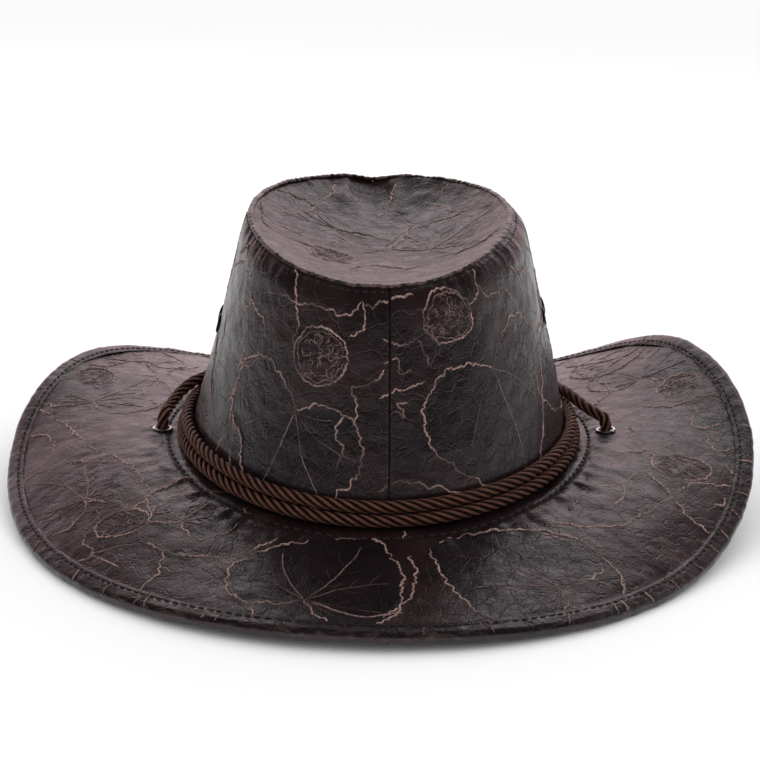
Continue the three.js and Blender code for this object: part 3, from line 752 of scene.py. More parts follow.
class Pattern:
    """Embossed leaves, rosettes and vines on one flat cut of leather, in millimetres on that cut."""

    def __init__(self, seed):
        self.random = np.random.default_rng(seed)
        self.lines, self.leaves = [], []

    def line(self, points, width=0.95, height=0.42, tone=1.0, jagged=0.75, sway=0.9):
        """A raised line: jagged for the rim of a leaf, smooth for a vein."""
        path = smooth_path(points, STEP)
        ahead = unit(np.gradient(path, axis=0))
        across = np.stack([-ahead[:, 1], ahead[:, 0]], axis=-1)
        along = np.arange(len(path)) * STEP
        seed = self.random.uniform(0, 200)
        ends = np.minimum(1, np.minimum(along, along[-1] - along) / 6)
        shift = sway * ends * SQUIGGLE(along / 9 + seed, 3.3)
        shift = shift + 1.3 * jagged * ends * SQUIGGLE(along / 3.4 + seed, 5.1)
        shift = shift + jagged * SQUIGGLE(along / 1.05 + seed, 7.7)
        beads = 1 + 0.35 * min(jagged * 2, 1) * SQUIGGLE(along / 1.4 + seed, 11.1)
        fade = np.clip(0.72 + 0.8 * SQUIGGLE(along / 10 + seed, 17.9), 0.2, 1)
        taper = np.clip(np.minimum(along, along[-1] - along) / 1.5, 0.15, 1)
        moved = path + across * shift[:, None]
        self.lines.append((moved, width * beads * taper, height * beads * taper * fade, tone * fade))

    def leaf(self, node, degrees, length, width, faint=False):
        """A broad heart-shaped leaf: its veins spread from the node, where the stalk joins."""
        forward = heading(math.radians(degrees))
        right = np.array([forward[1], -forward[0]])
        half = [(0, 0), (0.13, -0.12), (0.34, -0.19), (0.5, -0.08), (0.58, 0.16), (0.5, 0.46)]
        half += [(0.3, 0.76), (0.12, 0.93), (0, 1)]
        node = np.array(node, float)
        sides = []
        for sign in (-1, 1):
            size = width * self.random.uniform(0.9, 1.06)
            points = [node + right * sign * a * size + forward * b * length for a, b in half]
            sides.append(smooth_path(points, 1.5))
            self.line(points, width=0.8 if faint else 0.95, tone=0.45 if faint else 0.85)
        self.leaves.append(np.concatenate([sides[0], sides[1][::-1]]))
        self.veins(node, forward, right, length, width)

    def veins(self, node, forward, right, length, width):
        """Main veins from the node, and fainter ones that branch off them."""
        ends = [(0, 0.92), (0.34, 0.5), (-0.36, 0.52), (0.5, 0.12), (-0.5, 0.14), (0.3, -0.1), (-0.3, -0.1)]
        for k, (a, b) in enumerate(ends):
            a, b = np.array([a, b]) * self.random.uniform(0.85, 1.05, 2)
            end = node + right * a * width + forward * b * length
            bend = (end - node)[::-1] * [-1, 1] * self.random.uniform(-0.08, 0.08)
            middle = (node + end) / 2 + bend
            tone = [0.5, 0.3, 0.45, 0.2, 0.25, 0.18, 0.35][k]
            self.line([node, middle, end], 0.62, 0.26, tone, jagged=0.12, sway=0.5)
            self.side_veins(node, middle, end, self.random.integers(4, 8))

    def side_veins(self, start, middle, end, count):
        path = smooth_path([start, middle, end], 1.0)
        reach = np.linalg.norm(end - start)
        for k in range(count):
            at = path[int(len(path) * (0.25 + 0.6 * k / count))]
            forward = unit(end - start)
            sign = 1 if k % 2 else -1
            side = np.array([-forward[1], forward[0]]) * sign
            long = reach * self.random.uniform(0.16, 0.34)
            tail = at + forward * long * 0.75 + side * long * 0.66
            bend = (at + tail) / 2 + side * long * 0.08
            self.line([at, bend, tail], 0.42, 0.16, 0.1, jagged=0.14, sway=0.4)

    def rosette(self, centre, radius, flat=1.0):
        """A round medallion filled with crumpled short ridges."""
        centre = np.array(centre, float)
        turn = np.linspace(0, TURN, 14)
        for size, wide in ((1.0, 1.0), (0.86, 0.7)):
            wobble = 1 + 0.08 * SQUIGGLE(turn * 1.3 + centre[0], size)
            wobble[-1] = wobble[0]
            ring = np.stack([np.cos(turn), flat * np.sin(turn)], -1) * (radius * size * wobble)[:, None]
            self.line(centre + ring, wide, 0.4, 0.9 if size == 1 else 0.4, jagged=0.5, sway=0.5)
        for _ in range(int(radius * radius * 0.6)):
            spread = radius * 0.8 * math.sqrt(self.random.uniform())
            turn, curl = self.random.uniform(0, TURN), self.random.uniform(0, TURN)
            at = centre + heading(turn, flat) * spread
            long = self.random.uniform(1.6, 3.6)
            hook = [at]
            for reach, way in ((long, curl), (long * 0.8, curl + 1.5)):
                hook.append(hook[-1] + reach * heading(way, flat))
            self.line(hook, 0.6, 0.32, self.random.uniform(0.15, 0.6), jagged=0.3, sway=0.2)

    def vine(self, *points, tone=0.85, jagged=0.75):
        self.line(points, tone=tone, jagged=jagged)

    def crease(self, *points):
        """A thin dark fold."""
        self.line(points, 0.7, -0.3, 0.0, jagged=0.1, sway=0.8)

    def inside(self, at):
        """1 where a place lies inside a leaf, else 0."""
        covered = np.zeros(at.shape[:-1])
        for outline in self.leaves:
            low, high = outline.min(0), outline.max(0)
            near = ((at > low) & (at < high)).all(-1)
            covered[near] = np.maximum(covered[near], within(at[near], outline))
        return covered


def heading(angle, flat=1.0):
    return np.array([math.cos(angle), flat * math.sin(angle)])


def within(at, outline):
    """Whether places lie inside a closed outline, by counting the edges to one side."""
    inside = np.zeros(len(at), bool)
    following = np.roll(outline, -1, axis=0)
    for (x0, y0), (x1, y1) in zip(outline, following):
        crosses = (y0 > at[:, 1]) != (y1 > at[:, 1])
        height = y1 - y0 if abs(y1 - y0) > 1e-9 else 1e-9
        inside ^= crosses & (at[:, 0] < (x1 - x0) * (at[:, 1] - y0) / height + x0)
    return inside


def emboss(builder, pattern, place, valid):
    """Lays every line of a pattern on a surface: place(at, lift) gives points, valid(at) the leather."""
    section = np.array([-0.5, -0.3, 0, 0.3, 0.5])
    profile = np.array([-0.12, 0.62, 1.0, 0.62, -0.12])
    for path, width, height, tone in pattern.lines:
        kept = valid(path)
        breaks = np.flatnonzero(np.diff(kept.astype(int))) + 1
        for run in np.split(np.arange(len(path)), breaks):
            if len(run) < 5 or not kept[run[0]]:
                continue
            points, tall = path[run], height[run]
            ahead = unit(np.gradient(points, axis=0))
            across = np.stack([-ahead[:, 1], ahead[:, 0]], axis=-1)
            at = points[:, None] + across[:, None] * (section[None, :, None] * width[run][:, None, None])
            lift = np.where(profile > 0, profile, 0) * tall[:, None] - 0.06 * (profile < 0)
            colour = np.clip(profile, 0.25, 1) * np.broadcast_to(tone, path.shape[:1])[run][:, None]
            builder.grid(place(at, lift), ridge=colour, leaf=0.4)


# ---- Crown leather ---------------------------------------------------------------------------------

ROUND = np.linspace(0, TURN, 2881)
MIDWAY = wall(ROUND, 0.5)
GIRTH = np.concatenate([[0], np.cumsum(np.linalg.norm(np.diff(MIDWAY, axis=0), axis=1))])
AROUND = GIRTH - np.interp(BACK, ROUND, GIRTH)
HALF_GIRTH = GIRTH[-1] / 2
WALL_HEIGHT = np.linalg.norm(wall(ROUND, 1.0) - wall(ROUND, 0.0), axis=1)


def crown_phi(around):
    start = -AROUND[0]
    return np.interp((np.asarray(around) + start) % GIRTH[-1], GIRTH, ROUND)


def crown_cut(at):
    """Angle and share of the wall for a place (way round, height) on the crown's cut."""
    phi = crown_phi(at[..., 0])
    return phi, at[..., 1] / np.interp(phi, ROUND, WALL_HEIGHT)


CREST = Noise(11)
FINE = Noise(12)
BACK_SEAM, FRONT_SEAM = (np.interp(a + SEAM_TURN, ROUND, AROUND) for a in (BACK, BACK - math.pi))


def seam_distance(around):
    """How far a place is from the nearer centre seam."""
    seams = (BACK_SEAM, FRONT_SEAM)
    return np.minimum(*(np.abs((around - seam + HALF_GIRTH) % GIRTH[-1] - HALF_GIRTH) for seam in seams))


def rim_pucker(phi):
    """How far the leather is drawn up and down along the seam round the tip."""
    way = phi / TURN * 256
    return 0.2 * FINE(way, 3.1) + 0.4 * CREST(way / 4, 5.7)


def crown_relief(around, t):
    height = 100 * t
    lift = 0.45 * CREST(around / 26, height / 34) + 0.14 * FINE(around / 5, height / 5)
    near_top = bell(t, 1, 0.07)
    folds = 0.6 * FINE(around / 3.4, height / 16) + 0.35 * CREST(around / 9, height / 9)
    lift = lift + near_top * (folds * np.clip((1 - t) / 0.04, 0, 1) + rim_pucker(crown_phi(around)))
    lift = lift + bell(t, 0, 0.12) * 0.2 * FINE(around / 4, 9.1)
    away = seam_distance(around)
    return lift - 0.8 * bell(away, 0, 0.5) + 0.2 * bell(away, 2.6, 1.8)


def on_crown(at, lift):
    phi, t = crown_cut(at)
    return wall(phi, t, crown_relief(at[..., 0], t) + lift)


def crown_pattern():
    """Leaves, medallions and vines as they lie on the crown: (way round to the right, height)."""
    made = Pattern(3)
    made.leaf((-33, 42), 252, 50, 62)
    made.leaf((56, 56), 285, 56, 68)
    made.rosette((-24, 66), 12)
    made.rosette((35, 82), 12.5, 0.85)
    made.vine((-8, 40), (-7, 48), (-9, 56), (-1, 58), (4, 64))
    made.vine((3, 76), (10, 73), (20, 75), (24, 64))
    made.vine((2, 52), (8, 55), (14, 56), (22, 58))
    made.vine((2, 14), (8, 18), (22, 15), (36, 8))
    made.vine((-52, 64), (-60, 72), (-78, 80))
    made.vine((-38, 64), (-37, 76), (-40, 88), (-48, 97))
    made.vine((-52, 86), (-38, 85), (-24, 86), (-12, 84), (-6, 90))
    made.vine((-6, 90), (-5, 80), (-12, 76))
    made.vine((-6, 88), (6, 90), (18, 92))
    made.vine((52, 92), (60, 86), (72, 86), (84, 74))
    made.vine((46, 84), (52, 88), (57, 98))
    made.crease((-84, 80), (-70, 66), (-62, 58))
    made.vine((5, 44), (9, 46), (12, 44), (9, 50), (14, 50), tone=0.7)
    made.vine((-14, 22), (-11, 30), (-15, 38), (-11, 44))
    made.vine((3, 66), (9, 68), (11, 62), (16, 64), tone=0.6)
    made.crease((2, 30), (10, 34), (16, 42))
    scattered = made.random
    for way in np.arange(108, 2 * HALF_GIRTH - 88, 62):
        low = scattered.uniform(0, 1) < 0.5
        node = (way + scattered.uniform(-8, 8), 58 if low else 40)
        made.leaf(node, 270 + scattered.uniform(-40, 40) + (0 if low else 180), 50, 60)
        made.rosette((way + 31 + scattered.uniform(-4, 4), scattered.uniform(62, 82)), 12)
        made.vine((way + 20, 4), (way + 30, 22), (way + 27, 44), (way + 34, 62))
        made.vine((way - 26, 92), (way - 10, 86), (way + 6, 92), (way + 26, 84))
        made.vine((way + 31, 30), (way + 42, 22), (way + 48, 6))
    return made


SEAM_GAP = 0.0014  # angle between a panel and the middle of its seam
SEAM_MARGIN = 0.007  # angle beside a seam that no raised line enters


def add_crown_panel(side, pattern):
    """Half of the crown wall as a closed skin, with the pattern raised on its face."""
    start = BACK + SEAM_TURN - (0 if side == "right" else math.pi)
    columns = np.linspace(start + SEAM_GAP, start + math.pi - SEAM_GAP, 300)
    rows = np.concatenate([np.linspace(WALL_FOOT, 0.86, 84), np.linspace(0.868, 1.0, 26)])
    phi, t = np.meshgrid(columns, rows)
    around = np.interp(phi % TURN, ROUND, AROUND)
    outer = wall(phi, t, crown_relief(around, t))
    height = t * np.interp(phi % TURN, ROUND, WALL_HEIGHT)
    places = [np.stack([around + turn, height], -1) for turn in (-GIRTH[-1], 0, GIRTH[-1])]
    leaf = np.maximum.reduce([pattern.inside(at) for at in places])
    inner = wall(phi[::-6], t[::-6], -WALL)
    panel = Builder("leaf", "ridge")
    skin = np.concatenate([outer, inner])
    leaves = np.concatenate([leaf, np.zeros(inner.shape[:2])])
    panel.grid(skin[:, ::-1], wrap_rows=True, leaf=leaves[:, ::-1])

    def valid(at):
        angle, share = crown_cut(at)
        turned = (angle - start) % TURN
        beside_seam = (turned < SEAM_MARGIN) | (turned > math.pi - SEAM_MARGIN)
        return ~beside_seam & (share > WALL_FOOT) & (share < 0.985)

    emboss(panel, pattern, on_crown, valid)
    dress(panel.made(f"crown_panel_{side}_leather"), "embossed_leather", f"crown_panel_{side}")


# ---- Tip -------------------------------------------------------------------------------------------


def tip_cut(at):
    """Angle and share of the way out for a place on the tip, seen from above."""
    x = at[..., 0] / RIM["half_width"]
    y = (at[..., 1] + RIM["set_back"]) / RIM["half_length"]
    return np.arctan2(y, x), np.hypot(x, y)


def tip_relief(x, y, rho):
    lift = 0.8 * CREST(x / 24 + 9, y / 24) + 0.3 * FINE(x / 9, y / 9) + 0.16 * FINE(x / 4, y / 4)
    phi = np.arctan2(y / RIM["half_length"], x / RIM["half_width"])
    pleats = 0.35 * FINE(phi * 20, rho * 4) * np.clip((1 - rho) / 0.05, 0, 1)
    lift = lift + bell(rho, 1, 0.1) * pleats + bell(rho, 1, 0.03) * rim_pucker(phi % TURN)
    middle = -RIM["half_width"] * math.sin(SEAM_TURN)
    dent = bell(x, middle, 10) * bell(y, 64, 15)
    folds = bell(np.abs(x - middle), 12, 3) * bell(y, 56, 13)
    return lift - 2.6 * dent + 1.2 * folds


def on_tip(at, lift):
    phi, rho = tip_cut(at)
    return tip(phi, rho, tip_relief(at[..., 0], at[..., 1], rho) + lift)


def tip_pattern():
    made = Pattern(17)
    made.leaf((-20, 20), 235, 44, 52, faint=True)
    made.leaf((22, -6), 40, 46, 50, faint=True)
    made.rosette((-20, -26), 10)
    made.vine((-46, 10), (-34, 26), (-26, 44), (-22, 62), tone=1.0)
    made.vine((-50, -8), (-36, -2), (-28, -18), (-12, -30), tone=1.0)
    made.vine((6, 68), (2, 48), (12, 30), (8, 8), (-2, -12), tone=0.9)
    made.vine((-12, -44), (0, -34), (14, -42), (30, -30), tone=0.9)
    made.vine((48, 22), (34, 30), (26, 46), (30, 60), tone=0.9)
    made.crease((20, -30), (32, -12), (44, 12))
    made.crease((24, -36), (36, -20), (47, 2))
    made.crease((-40, -30), (-30, -40), (-18, -48))
    made.crease((14, 20), (28, 26), (44, 34))
    return made


def add_tip(pattern):
    columns = round_angles(440)
    rows = np.concatenate([np.linspace(0.012, 0.86, 62), np.linspace(0.87, 0.99, 20)])
    phi, rho = np.meshgrid(columns, rows)
    flat = tip(phi, rho)
    outer = tip(phi, rho, tip_relief(flat[..., 0], flat[..., 1], rho))
    leaf = pattern.inside(flat[..., :2])
    under = tip(phi[::-5], rho[::-5], -WALL)
    skin = np.concatenate([outer, under])[:, ::-1]
    leaves = np.concatenate([leaf, np.zeros(under.shape[:2])])[:, ::-1]
    made = Builder("leaf", "ridge")
    made.grid(skin[::-1], wrap_columns=True, leaf=leaves[::-1])
    made.cap(skin[0])
    made.cap(skin[-1][::-1])
    emboss(made, pattern, on_tip, lambda at: tip_cut(at)[1] < 0.965)
    dress(made.made("crown_tip_leather"), "embossed_leather", "crown_tip")


WELT_STEPS = 1000


def add_welt():
    """The thin piped seam round the tip, puckered where the thread pulls it down."""
    phi = round_angles(WELT_STEPS)
    out = outward(phi)
    length = phi / TURN * GIRTH[-1]
    stitches_round = round(GIRTH[-1] / 4.2)
    pull = 0.5 + 0.5 * np.cos(phi * stitches_round)
    centre = rim(phi) + [0, 0, 1] * (rim_pucker(phi) - 0.1 - 0.08 * pull)[:, None]
    size = WELT_RADIUS * (1.0 - 0.07 * pull + 0.06 * FINE(length / 3, 2.2))
    a = round_angles(12)
    shape = out[:, None] * (1.5 * np.cos(a))[None, :, None] + np.array([0, 0, 1]) * np.sin(a)[None, :, None]
    points = centre[:, None] + shape * size[:, None, None]
    made = Builder("leaf", "ridge")
    # Painted highlight: the welt's upper side is mixed toward the tan, over random patches of wear.
    wear_and_painted_highlight = np.clip(np.sin(a)[None, :] * 0.2 + 0.5 * FINE(length / 2.2, 5.5)[:, None], 0, 0.22)
    made.grid(points, wrap_rows=True, wrap_columns=True, ridge=wear_and_painted_highlight, leaf=0.3)
    dress(made.made("crown_tip_piping"), "embossed_leather", "crown_tip_welt")


# ---- Brim leather ----------------------------------------------------------------------------------


def brim_cut(at):
    """Angle and way out for a place on the brim's flat cut, found by closing in on the oval beside it."""
    a, b = BASE["half_width"], BASE["half_length"]
    x, y = at[..., 0], at[..., 1]
    phi = np.arctan2(y * a, x * b)
    for _ in range(6):
        c, s = np.cos(phi), np.sin(phi)
        error = (a * a - b * b) * c * s - x * a * s + y * b * c
        slope = (a * a - b * b) * (c * c - s * s) - x * a * c - y * b * s
        phi = phi - error / slope
    low = foot(phi)[..., :2]
    arc = ((at - low) * outward(phi)[..., :2]).sum(-1)
    return phi, arc


def flat_brim(phi, arc):
    return foot(phi)[..., :2] + outward(phi)[..., :2] * np.asarray(arc)[..., None]


def brim_relief(x, y, phi, arc):
    lift = 0.55 * CREST(x / 34, y / 34) + 0.2 * FINE(x / 9, y / 9) + 0.12 * FINE(x / 4.5, y / 4.5)
    seam = arc - FOOT_SEAM
    gathers = FINE(phi * 30, arc / 30)
    lift = lift - 0.55 * bell(seam, 0, 1.3)
    lift = lift + bell(seam, 4.5, 4) * (0.9 + gathers + 0.5 * CREST(phi * 17, 3.0))
    lift = lift + bell(seam, 12, 6) * 0.4 * CREST(phi * 24, arc / 20)
    lift = lift + bell(seam, -5, 3.5) * 0.3 * gathers
    return lift - 0.2 * bell(arc, EDGE_DIP, 1.2)


def on_brim(at, lift):
    phi, arc = brim_cut(at)
    return brim(phi, arc, brim_relief(at[..., 0], at[..., 1], phi, arc) + lift)


def brim_pattern():
    """Leaves, medallions and vines as they lie on the brim's flat cut: (to the right, to the front)."""
    made = Pattern(29)
    # Back left
    made.vine((-156, 36), (-138, 8), (-117, -30), (-100, -52), (-91, -77))
    made.vine((-91, -77), (-96, -86), (-106, -80), (-118, -73))
    made.leaf((-118, -72), 132, 52, 50)
    made.vine((-91, -77), (-84, -71), (-74, -62))
    made.vine((-91, -77), (-90, -89), (-84, -93), (-76, -99))
    made.leaf((-75, -101), 48, 34, 34)
    made.rosette((-101, -96), 11, 0.8)
    made.vine((-88, -113), (-80, -122), (-68, -126), (-50, -126), (-34, -111))
    made.vine((-81, -121), (-82, -134), (-90, -147))
    made.vine((-112, -113), (-106, -114), (-97, -113), tone=0.7, jagged=0.1)
    made.vine((-112, -113), (-102, -123), (-98, -128), tone=0.7, jagged=0.1)
    made.vine((-122, -122), (-112, -113), (-116, -103), (-112, -94))
    made.leaf((-24, -160), 62, 52, 66)
    made.vine((-44, -162), (-42, -171), (-38, -182))
    made.vine((-21, -162), (-4, -172), (14, -168), tone=0.6, jagged=0.1)
    # Back right
    made.vine((13, -106), (16, -120), (18, -138), (17, -156), (6, -172))
    made.leaf((74, -140), 158, 54, 62)
    made.vine((62, -88), (74, -95), (98, -92), (113, -76), (126, -59))
    made.vine((56, -99), (71, -105), (86, -109), (98, -122), (101, -136))
    made.vine((100, -126), (105, -146))
    made.vine((76, -162), (80, -150))
    made.vine((125, -59), (120, -50), (112, -44))
    made.vine((125, -59), (137, -47), (153, -42), (166, -40), tone=0.9)
    made.vine((126, -62), (132, -73), (146, -80))
    made.rosette((132, -35), 13, 0.75)
    made.vine((90, -63), (104, -56), (112, -45), jagged=0.25)
    made.vine((104, -56), (105, -68), (99, -76), jagged=0.25)
    made.crease((91, -63), (89, -46), (93, -26))
    made.crease((91, -63), (82, -61), (78, -54))
    made.crease((91, -63), (84, -77), (80, -84))
    made.vine((113, 6), (113, -14), (121, -31))
    made.vine((109, -26), (120, -23), (131, -15), tone=0.7)
    made.vine((144, 20), (142, 0), (158, 3))
    made.vine((146, -6), (148, -20), (158, -14), (166, -8))
    made.vine((152, -26), (155, -42), (151, -52), (143, -60))
    # Sides and front
    made.leaf((-128, 30), 60, 46, 50)
    made.leaf((-120, 92), 118, 46, 52)
    made.rosette((-132, 62), 10)
    made.vine((-98, 20), (-108, 44), (-104, 70), (-112, 92))
    made.vine((-92, 60), (-100, 84), (-88, 108))
    made.leaf((-70, 140), 40, 44, 50)
    made.leaf((-20, 150), 100, 30, 44)
    made.vine((-62, 104), (-50, 122), (-32, 126), (-10, 140), (0, 160))
    made.leaf((38, 132), 70, 44, 50)
    made.rosette((2, 130), 10)
    made.vine((60, 100), (70, 120), (92, 126), (104, 140))
    made.leaf((98, 108), 10, 44, 50)
    made.leaf((124, 60), 80, 42, 46)
    made.vine((96, 34), (108, 52), (104, 76), (96, 96))
    made.rosette((140, 40), 10)
    made.vine((118, 28), (132, 22), (150, 26), (162, 22))
    made.vine((-160, 10), (-146, 2), (-140, -16), tone=0.8)
    return made


def add_brim_upper(pattern):
    columns = round_angles(960)
    rows = np.concatenate([np.linspace(0.2, 18, 22), np.linspace(19.4, 77.2, 44)])
    phi, arc = np.meshgrid(columns, rows)
    flat = flat_brim(phi, arc)
    outer = brim(phi, arc, brim_relief(flat[..., 0], flat[..., 1], phi, arc))
    leaf = pattern.inside(flat)
    under = brim(phi[::-8], arc[::-8], -LEATHER)
    made = Builder("leaf", "ridge")
    skin = np.concatenate([outer, under])
    leaves = np.concatenate([leaf, np.zeros(under.shape[:2])])
    made.grid(skin, wrap_rows=True, wrap_columns=True, leaf=leaves)

    def valid(at):
        _, arc_at = brim_cut(at)
        return (arc_at > 0.6) & (arc_at < EDGE_CENTRE - BINDING["width"] - 0.3)

    emboss(made, pattern, on_brim, valid)
    dress(made.made("brim_upper_leather"), "embossed_leather", "brim_upper")


def on_binding(at, lift):
    phi, arc = brim_cut(at)
    along = arc - (EDGE_CENTRE - BINDING["width"])
    return binding(phi, along, binding_relief(phi, along) + lift)


def binding_relief(phi, along):
    way = phi * 150
    lift = 0.14 * FINE(way / 3.2, along / 3) + 0.16 * CREST(way / 9, along / 5)
    return lift - 0.75 * bell(along, 0, 0.9) - 0.35 * bell(along, BINDING["seam"], 0.5)


def add_binding(pattern):
    """The folded strip round the edge, from its inner upper edge over the roll to underneath."""
    columns = round_angles(1200)
    width = BINDING["width"]
    across = 2 * width + math.pi * BINDING_RADIUS
    top = np.linspace(0, width, 10)
    roll = np.linspace(width, across - width, 14)[1:]
    below = np.linspace(across - width, across, 4)[1:]
    along, phi = np.meshgrid(np.concatenate([top, roll, below]), columns, indexing="ij")
    outer = binding(phi, along, binding_relief(phi, along))
    back = np.array([across, across - width, across / 2, width, 0.0])
    along_in, phi_in = np.meshgrid(back, columns, indexing="ij")
    inner = binding(phi_in, along_in, -BINDING["leather"])
    made = Builder("leaf", "ridge")
    # A lighter band in patches along the roll's upper shoulder: partly rubbed wear, partly a painted
    # highlight on the rolled edge.
    wear_and_painted_highlight = 0.1 * bell(along, width + 2, 2.5) * np.clip(CREST(phi * 60, along), 0, 1)
    values = np.concatenate([wear_and_painted_highlight, np.zeros(inner.shape[:2])])
    made.grid(np.concatenate([outer, inner]), wrap_rows=True, wrap_columns=True, ridge=values, leaf=0.5)

    def valid(at):
        _, arc = brim_cut(at)
        along_at = arc - (EDGE_CENTRE - width)
        return (along_at > 0.2) & (along_at < across - width)

    emboss(made, pattern, on_binding, valid)
    dress(made.made("brim_edge_binding_leather"), "embossed_leather", "brim_edge_binding")


def binding_pattern():
    """Short ridges that cross the roll, where the pattern of the strip runs over it."""
    made = Pattern(41)
    for _ in range(64):
        phi = made.random.uniform(0, TURN)
        lean = made.random.uniform(-3, 3)
        inner, outer = (flat_brim(phi + d / 150, a) for d, a in ((0, 73.2), (lean, 80.8)))
        made.line([inner, (inner + outer) / 2, outer], 0.9, 0.3, made.random.uniform(0.3, 0.9), 0.35, 0.3)
    return made


def add_shell(name, slot, node, near, far):
    """A closed skin round the hat: near from its first edge to its last, and far back again."""
    made = Builder()
    made.grid(np.concatenate([near, far]), wrap_rows=True, wrap_columns=True)
    dress(made.made(name), slot, node)


def add_under_brim():
    columns = round_angles(480)
    rows = np.linspace(0.2, 77.2, 40)
    phi, arc = np.meshgrid(columns, rows)
    flat = flat_brim(phi, arc)
    wave = 0.25 * CREST(flat[..., 0] / 20 + 50, flat[..., 1] / 20)
    lower = brim(phi, arc, -BRIM_THICKNESS - wave * (arc < 70))
    upper = brim(phi[::-8], arc[::-8], -BRIM_THICKNESS + LEATHER)
    add_shell("brim_lower_leather", "under_brim_leather", "brim_lower", lower[:, ::-1], upper[:, ::-1])


# ---- Lining and sweatband --------------------------------------------------------------------------


def add_lining():
    columns = round_angles(360)
    rows = np.linspace(WALL_FOOT, 0.9, 40)
    phi, t = np.meshgrid(columns, rows)
    folds = 0.35 * (1 + CREST(phi * 14, t * 4)) * np.clip(t * 4, 0, 1)
    near, far = wall(phi, t, -LINING_DEPTH), wall(phi[::-1], t[::-1], -LINING_DEPTH - LINING - folds[::-1])
    add_shell("crown_lining_side_cloth", "lining_cloth", "crown_lining_side", near, far)
    rows = np.linspace(0.02, 0.93, 40)
    phi, rho = np.meshgrid(columns, rows)
    wave = 0.5 * (1 + CREST(rho * np.cos(phi) * 5, rho * np.sin(phi) * 5))
    cloth = Builder()
    near, far = tip(phi, rho, -LINING_DEPTH), tip(phi[::-1], rho[::-1], -LINING_DEPTH - LINING - wave[::-1])
    skin = np.concatenate([near, far])
    cloth.grid(skin[:, ::-1], wrap_columns=True)
    cloth.cap(skin[0][::-1])
    cloth.cap(skin[-1])
    dress(cloth.made("crown_lining_tip_cloth"), "lining_cloth", "crown_lining_tip")


def band(phi, t, lift):
    point = wall(phi, np.maximum(t, 0), lift)
    point[..., 2] += np.minimum(t, 0) * SWEATBAND["below"]
    return point


def add_sweatband():
    columns = round_angles(420)
    rows = np.concatenate([[-1, -0.9, -0.6, -0.3], np.linspace(0, SWEATBAND["top"], 26)])
    phi, t = np.meshgrid(columns, rows)
    wave = 0.25 * CREST(phi * 11, t * 6) * np.clip(t * 8, 0, 1)
    rolled = 0.5 * bell(t, SWEATBAND["top"], 0.012)
    stitched = -0.35 * bell(t, SWEATBAND["seam"], 0.008)
    near = band(phi, t, -BAND_DEPTH)
    far = band(phi, t, -BAND_DEPTH - SWEATBAND["thickness"] - wave - rolled - stitched)[::-1]
    add_shell("sweatband_leather_band", "sweatband_leather", "sweatband", near, far)


# ---- Stitching -------------------------------------------------------------------------------------


def stitches(name, places, normals, ahead, length, radius):
    """Short rounded threads, each lying on the leather along its own direction."""
    a = round_angles(8)
    share = np.array([-0.5, -0.42, -0.2, 0.2, 0.42, 0.5])
    swell = np.array([0.15, 0.7, 1.0, 1.0, 0.7, 0.15])
    sink = np.array([-0.6, -0.15, 0.1, 0.1, -0.15, -0.6]) * radius
    thread = Builder()
    for place, normal, direction in zip(places, normals, ahead):
        side = np.cross(direction, normal)
        centre = place + direction * (share * length)[:, None] + normal * sink[:, None]
        ring = side * np.cos(a)[:, None] + normal * 0.7 * np.sin(a)[:, None]
        points = centre[:, None] + ring[None] * (swell * radius)[:, None, None]
        thread.grid(points[::-1], wrap_columns=True)
        thread.cap(points[-1][::-1])
        thread.cap(points[0])
    dress(thread.made(name), "embossed_leather", material="sewing_thread")


def stitch_row(name, surface, spacing, length, radius):
    """A row of stitches round the hat on surface(phi, lift)."""
    phi = np.linspace(0, TURN, 4001)
    way = np.concatenate([[0], np.cumsum(np.linalg.norm(np.diff(surface(phi, 0.0), axis=0), axis=1))])
    count = int(way[-1] / spacing)
    at = np.interp(np.arange(count) * way[-1] / count, way, phi)
    places = surface(at, 0.1)
    normals = unit(surface(at, 1.0) - places)
    ahead = unit(surface(at + 0.002, 0.1) - surface(at - 0.002, 0.1))
    stitches(name, places, normals, ahead, length, radius)


def add_stitching():
    def edge(phi, lift):
        return binding(phi, BINDING["seam"] + 0 * phi, lift - 0.1)

    def seam(phi, lift):
        arc = FOOT_SEAM + 0 * phi
        flat = flat_brim(phi, arc)
        return brim(phi, arc, brim_relief(flat[..., 0], flat[..., 1], phi, arc) + lift)

    def below_tip(phi, lift):
        around = np.interp(phi % TURN, ROUND, AROUND)
        t = 0.975 + 0 * phi
        return wall(phi, t, crown_relief(around, t) + lift - 0.15)

    def inside(phi, lift):
        return band(phi, SWEATBAND["seam"] + 0 * phi, -BAND_DEPTH - SWEATBAND["thickness"] - lift + 0.2)

    stitch_row("brim_edge_stitches", edge, 3.9, 2.7, 0.42)
    stitch_row("brim_foot_stitches", seam, 4.6, 3.5, 0.75)
    stitch_row("crown_tip_stitches", below_tip, 3.4, 2.3, 0.4)
    stitch_row("sweatband_stitches", inside, 3.2, 2.2, 0.35)


# ---- Metal, knots and bead -------------------------------------------------------------------------


def eyelet_profile(size, thickness):
    """A rolled eyelet: a rounded flange outside, the barrel, and a rolled lip inside."""
    face = GAP + 0.05
    bottom = -(thickness + 2 * GAP + 2 * size["metal"])
    turns = np.linspace(0, math.pi, 9)
    middle, half = (size["flange"] + size["bore"]) / 2, (size["flange"] - size["bore"]) / 2
    crown = [(middle - half * math.cos(a), face + 1.35 * size["metal"] * math.sin(a)) for a in turns]
    lip = [(size["barrel"] + 0.5, bottom + 0.45), (size["flange"] - 0.5, bottom + 0.3)]
    lip += [(size["flange"] - 0.6, bottom - 0.05), (size["bore"] + 0.2, bottom - 0.05)]
    return crown + [(size["barrel"], face - 0.1), (size["barrel"], bottom + 0.5)] + lip


def wall_frame(phi, t):
    point = wall(phi, t)
    return point, unit(wall(phi, t, 1.0) - point)


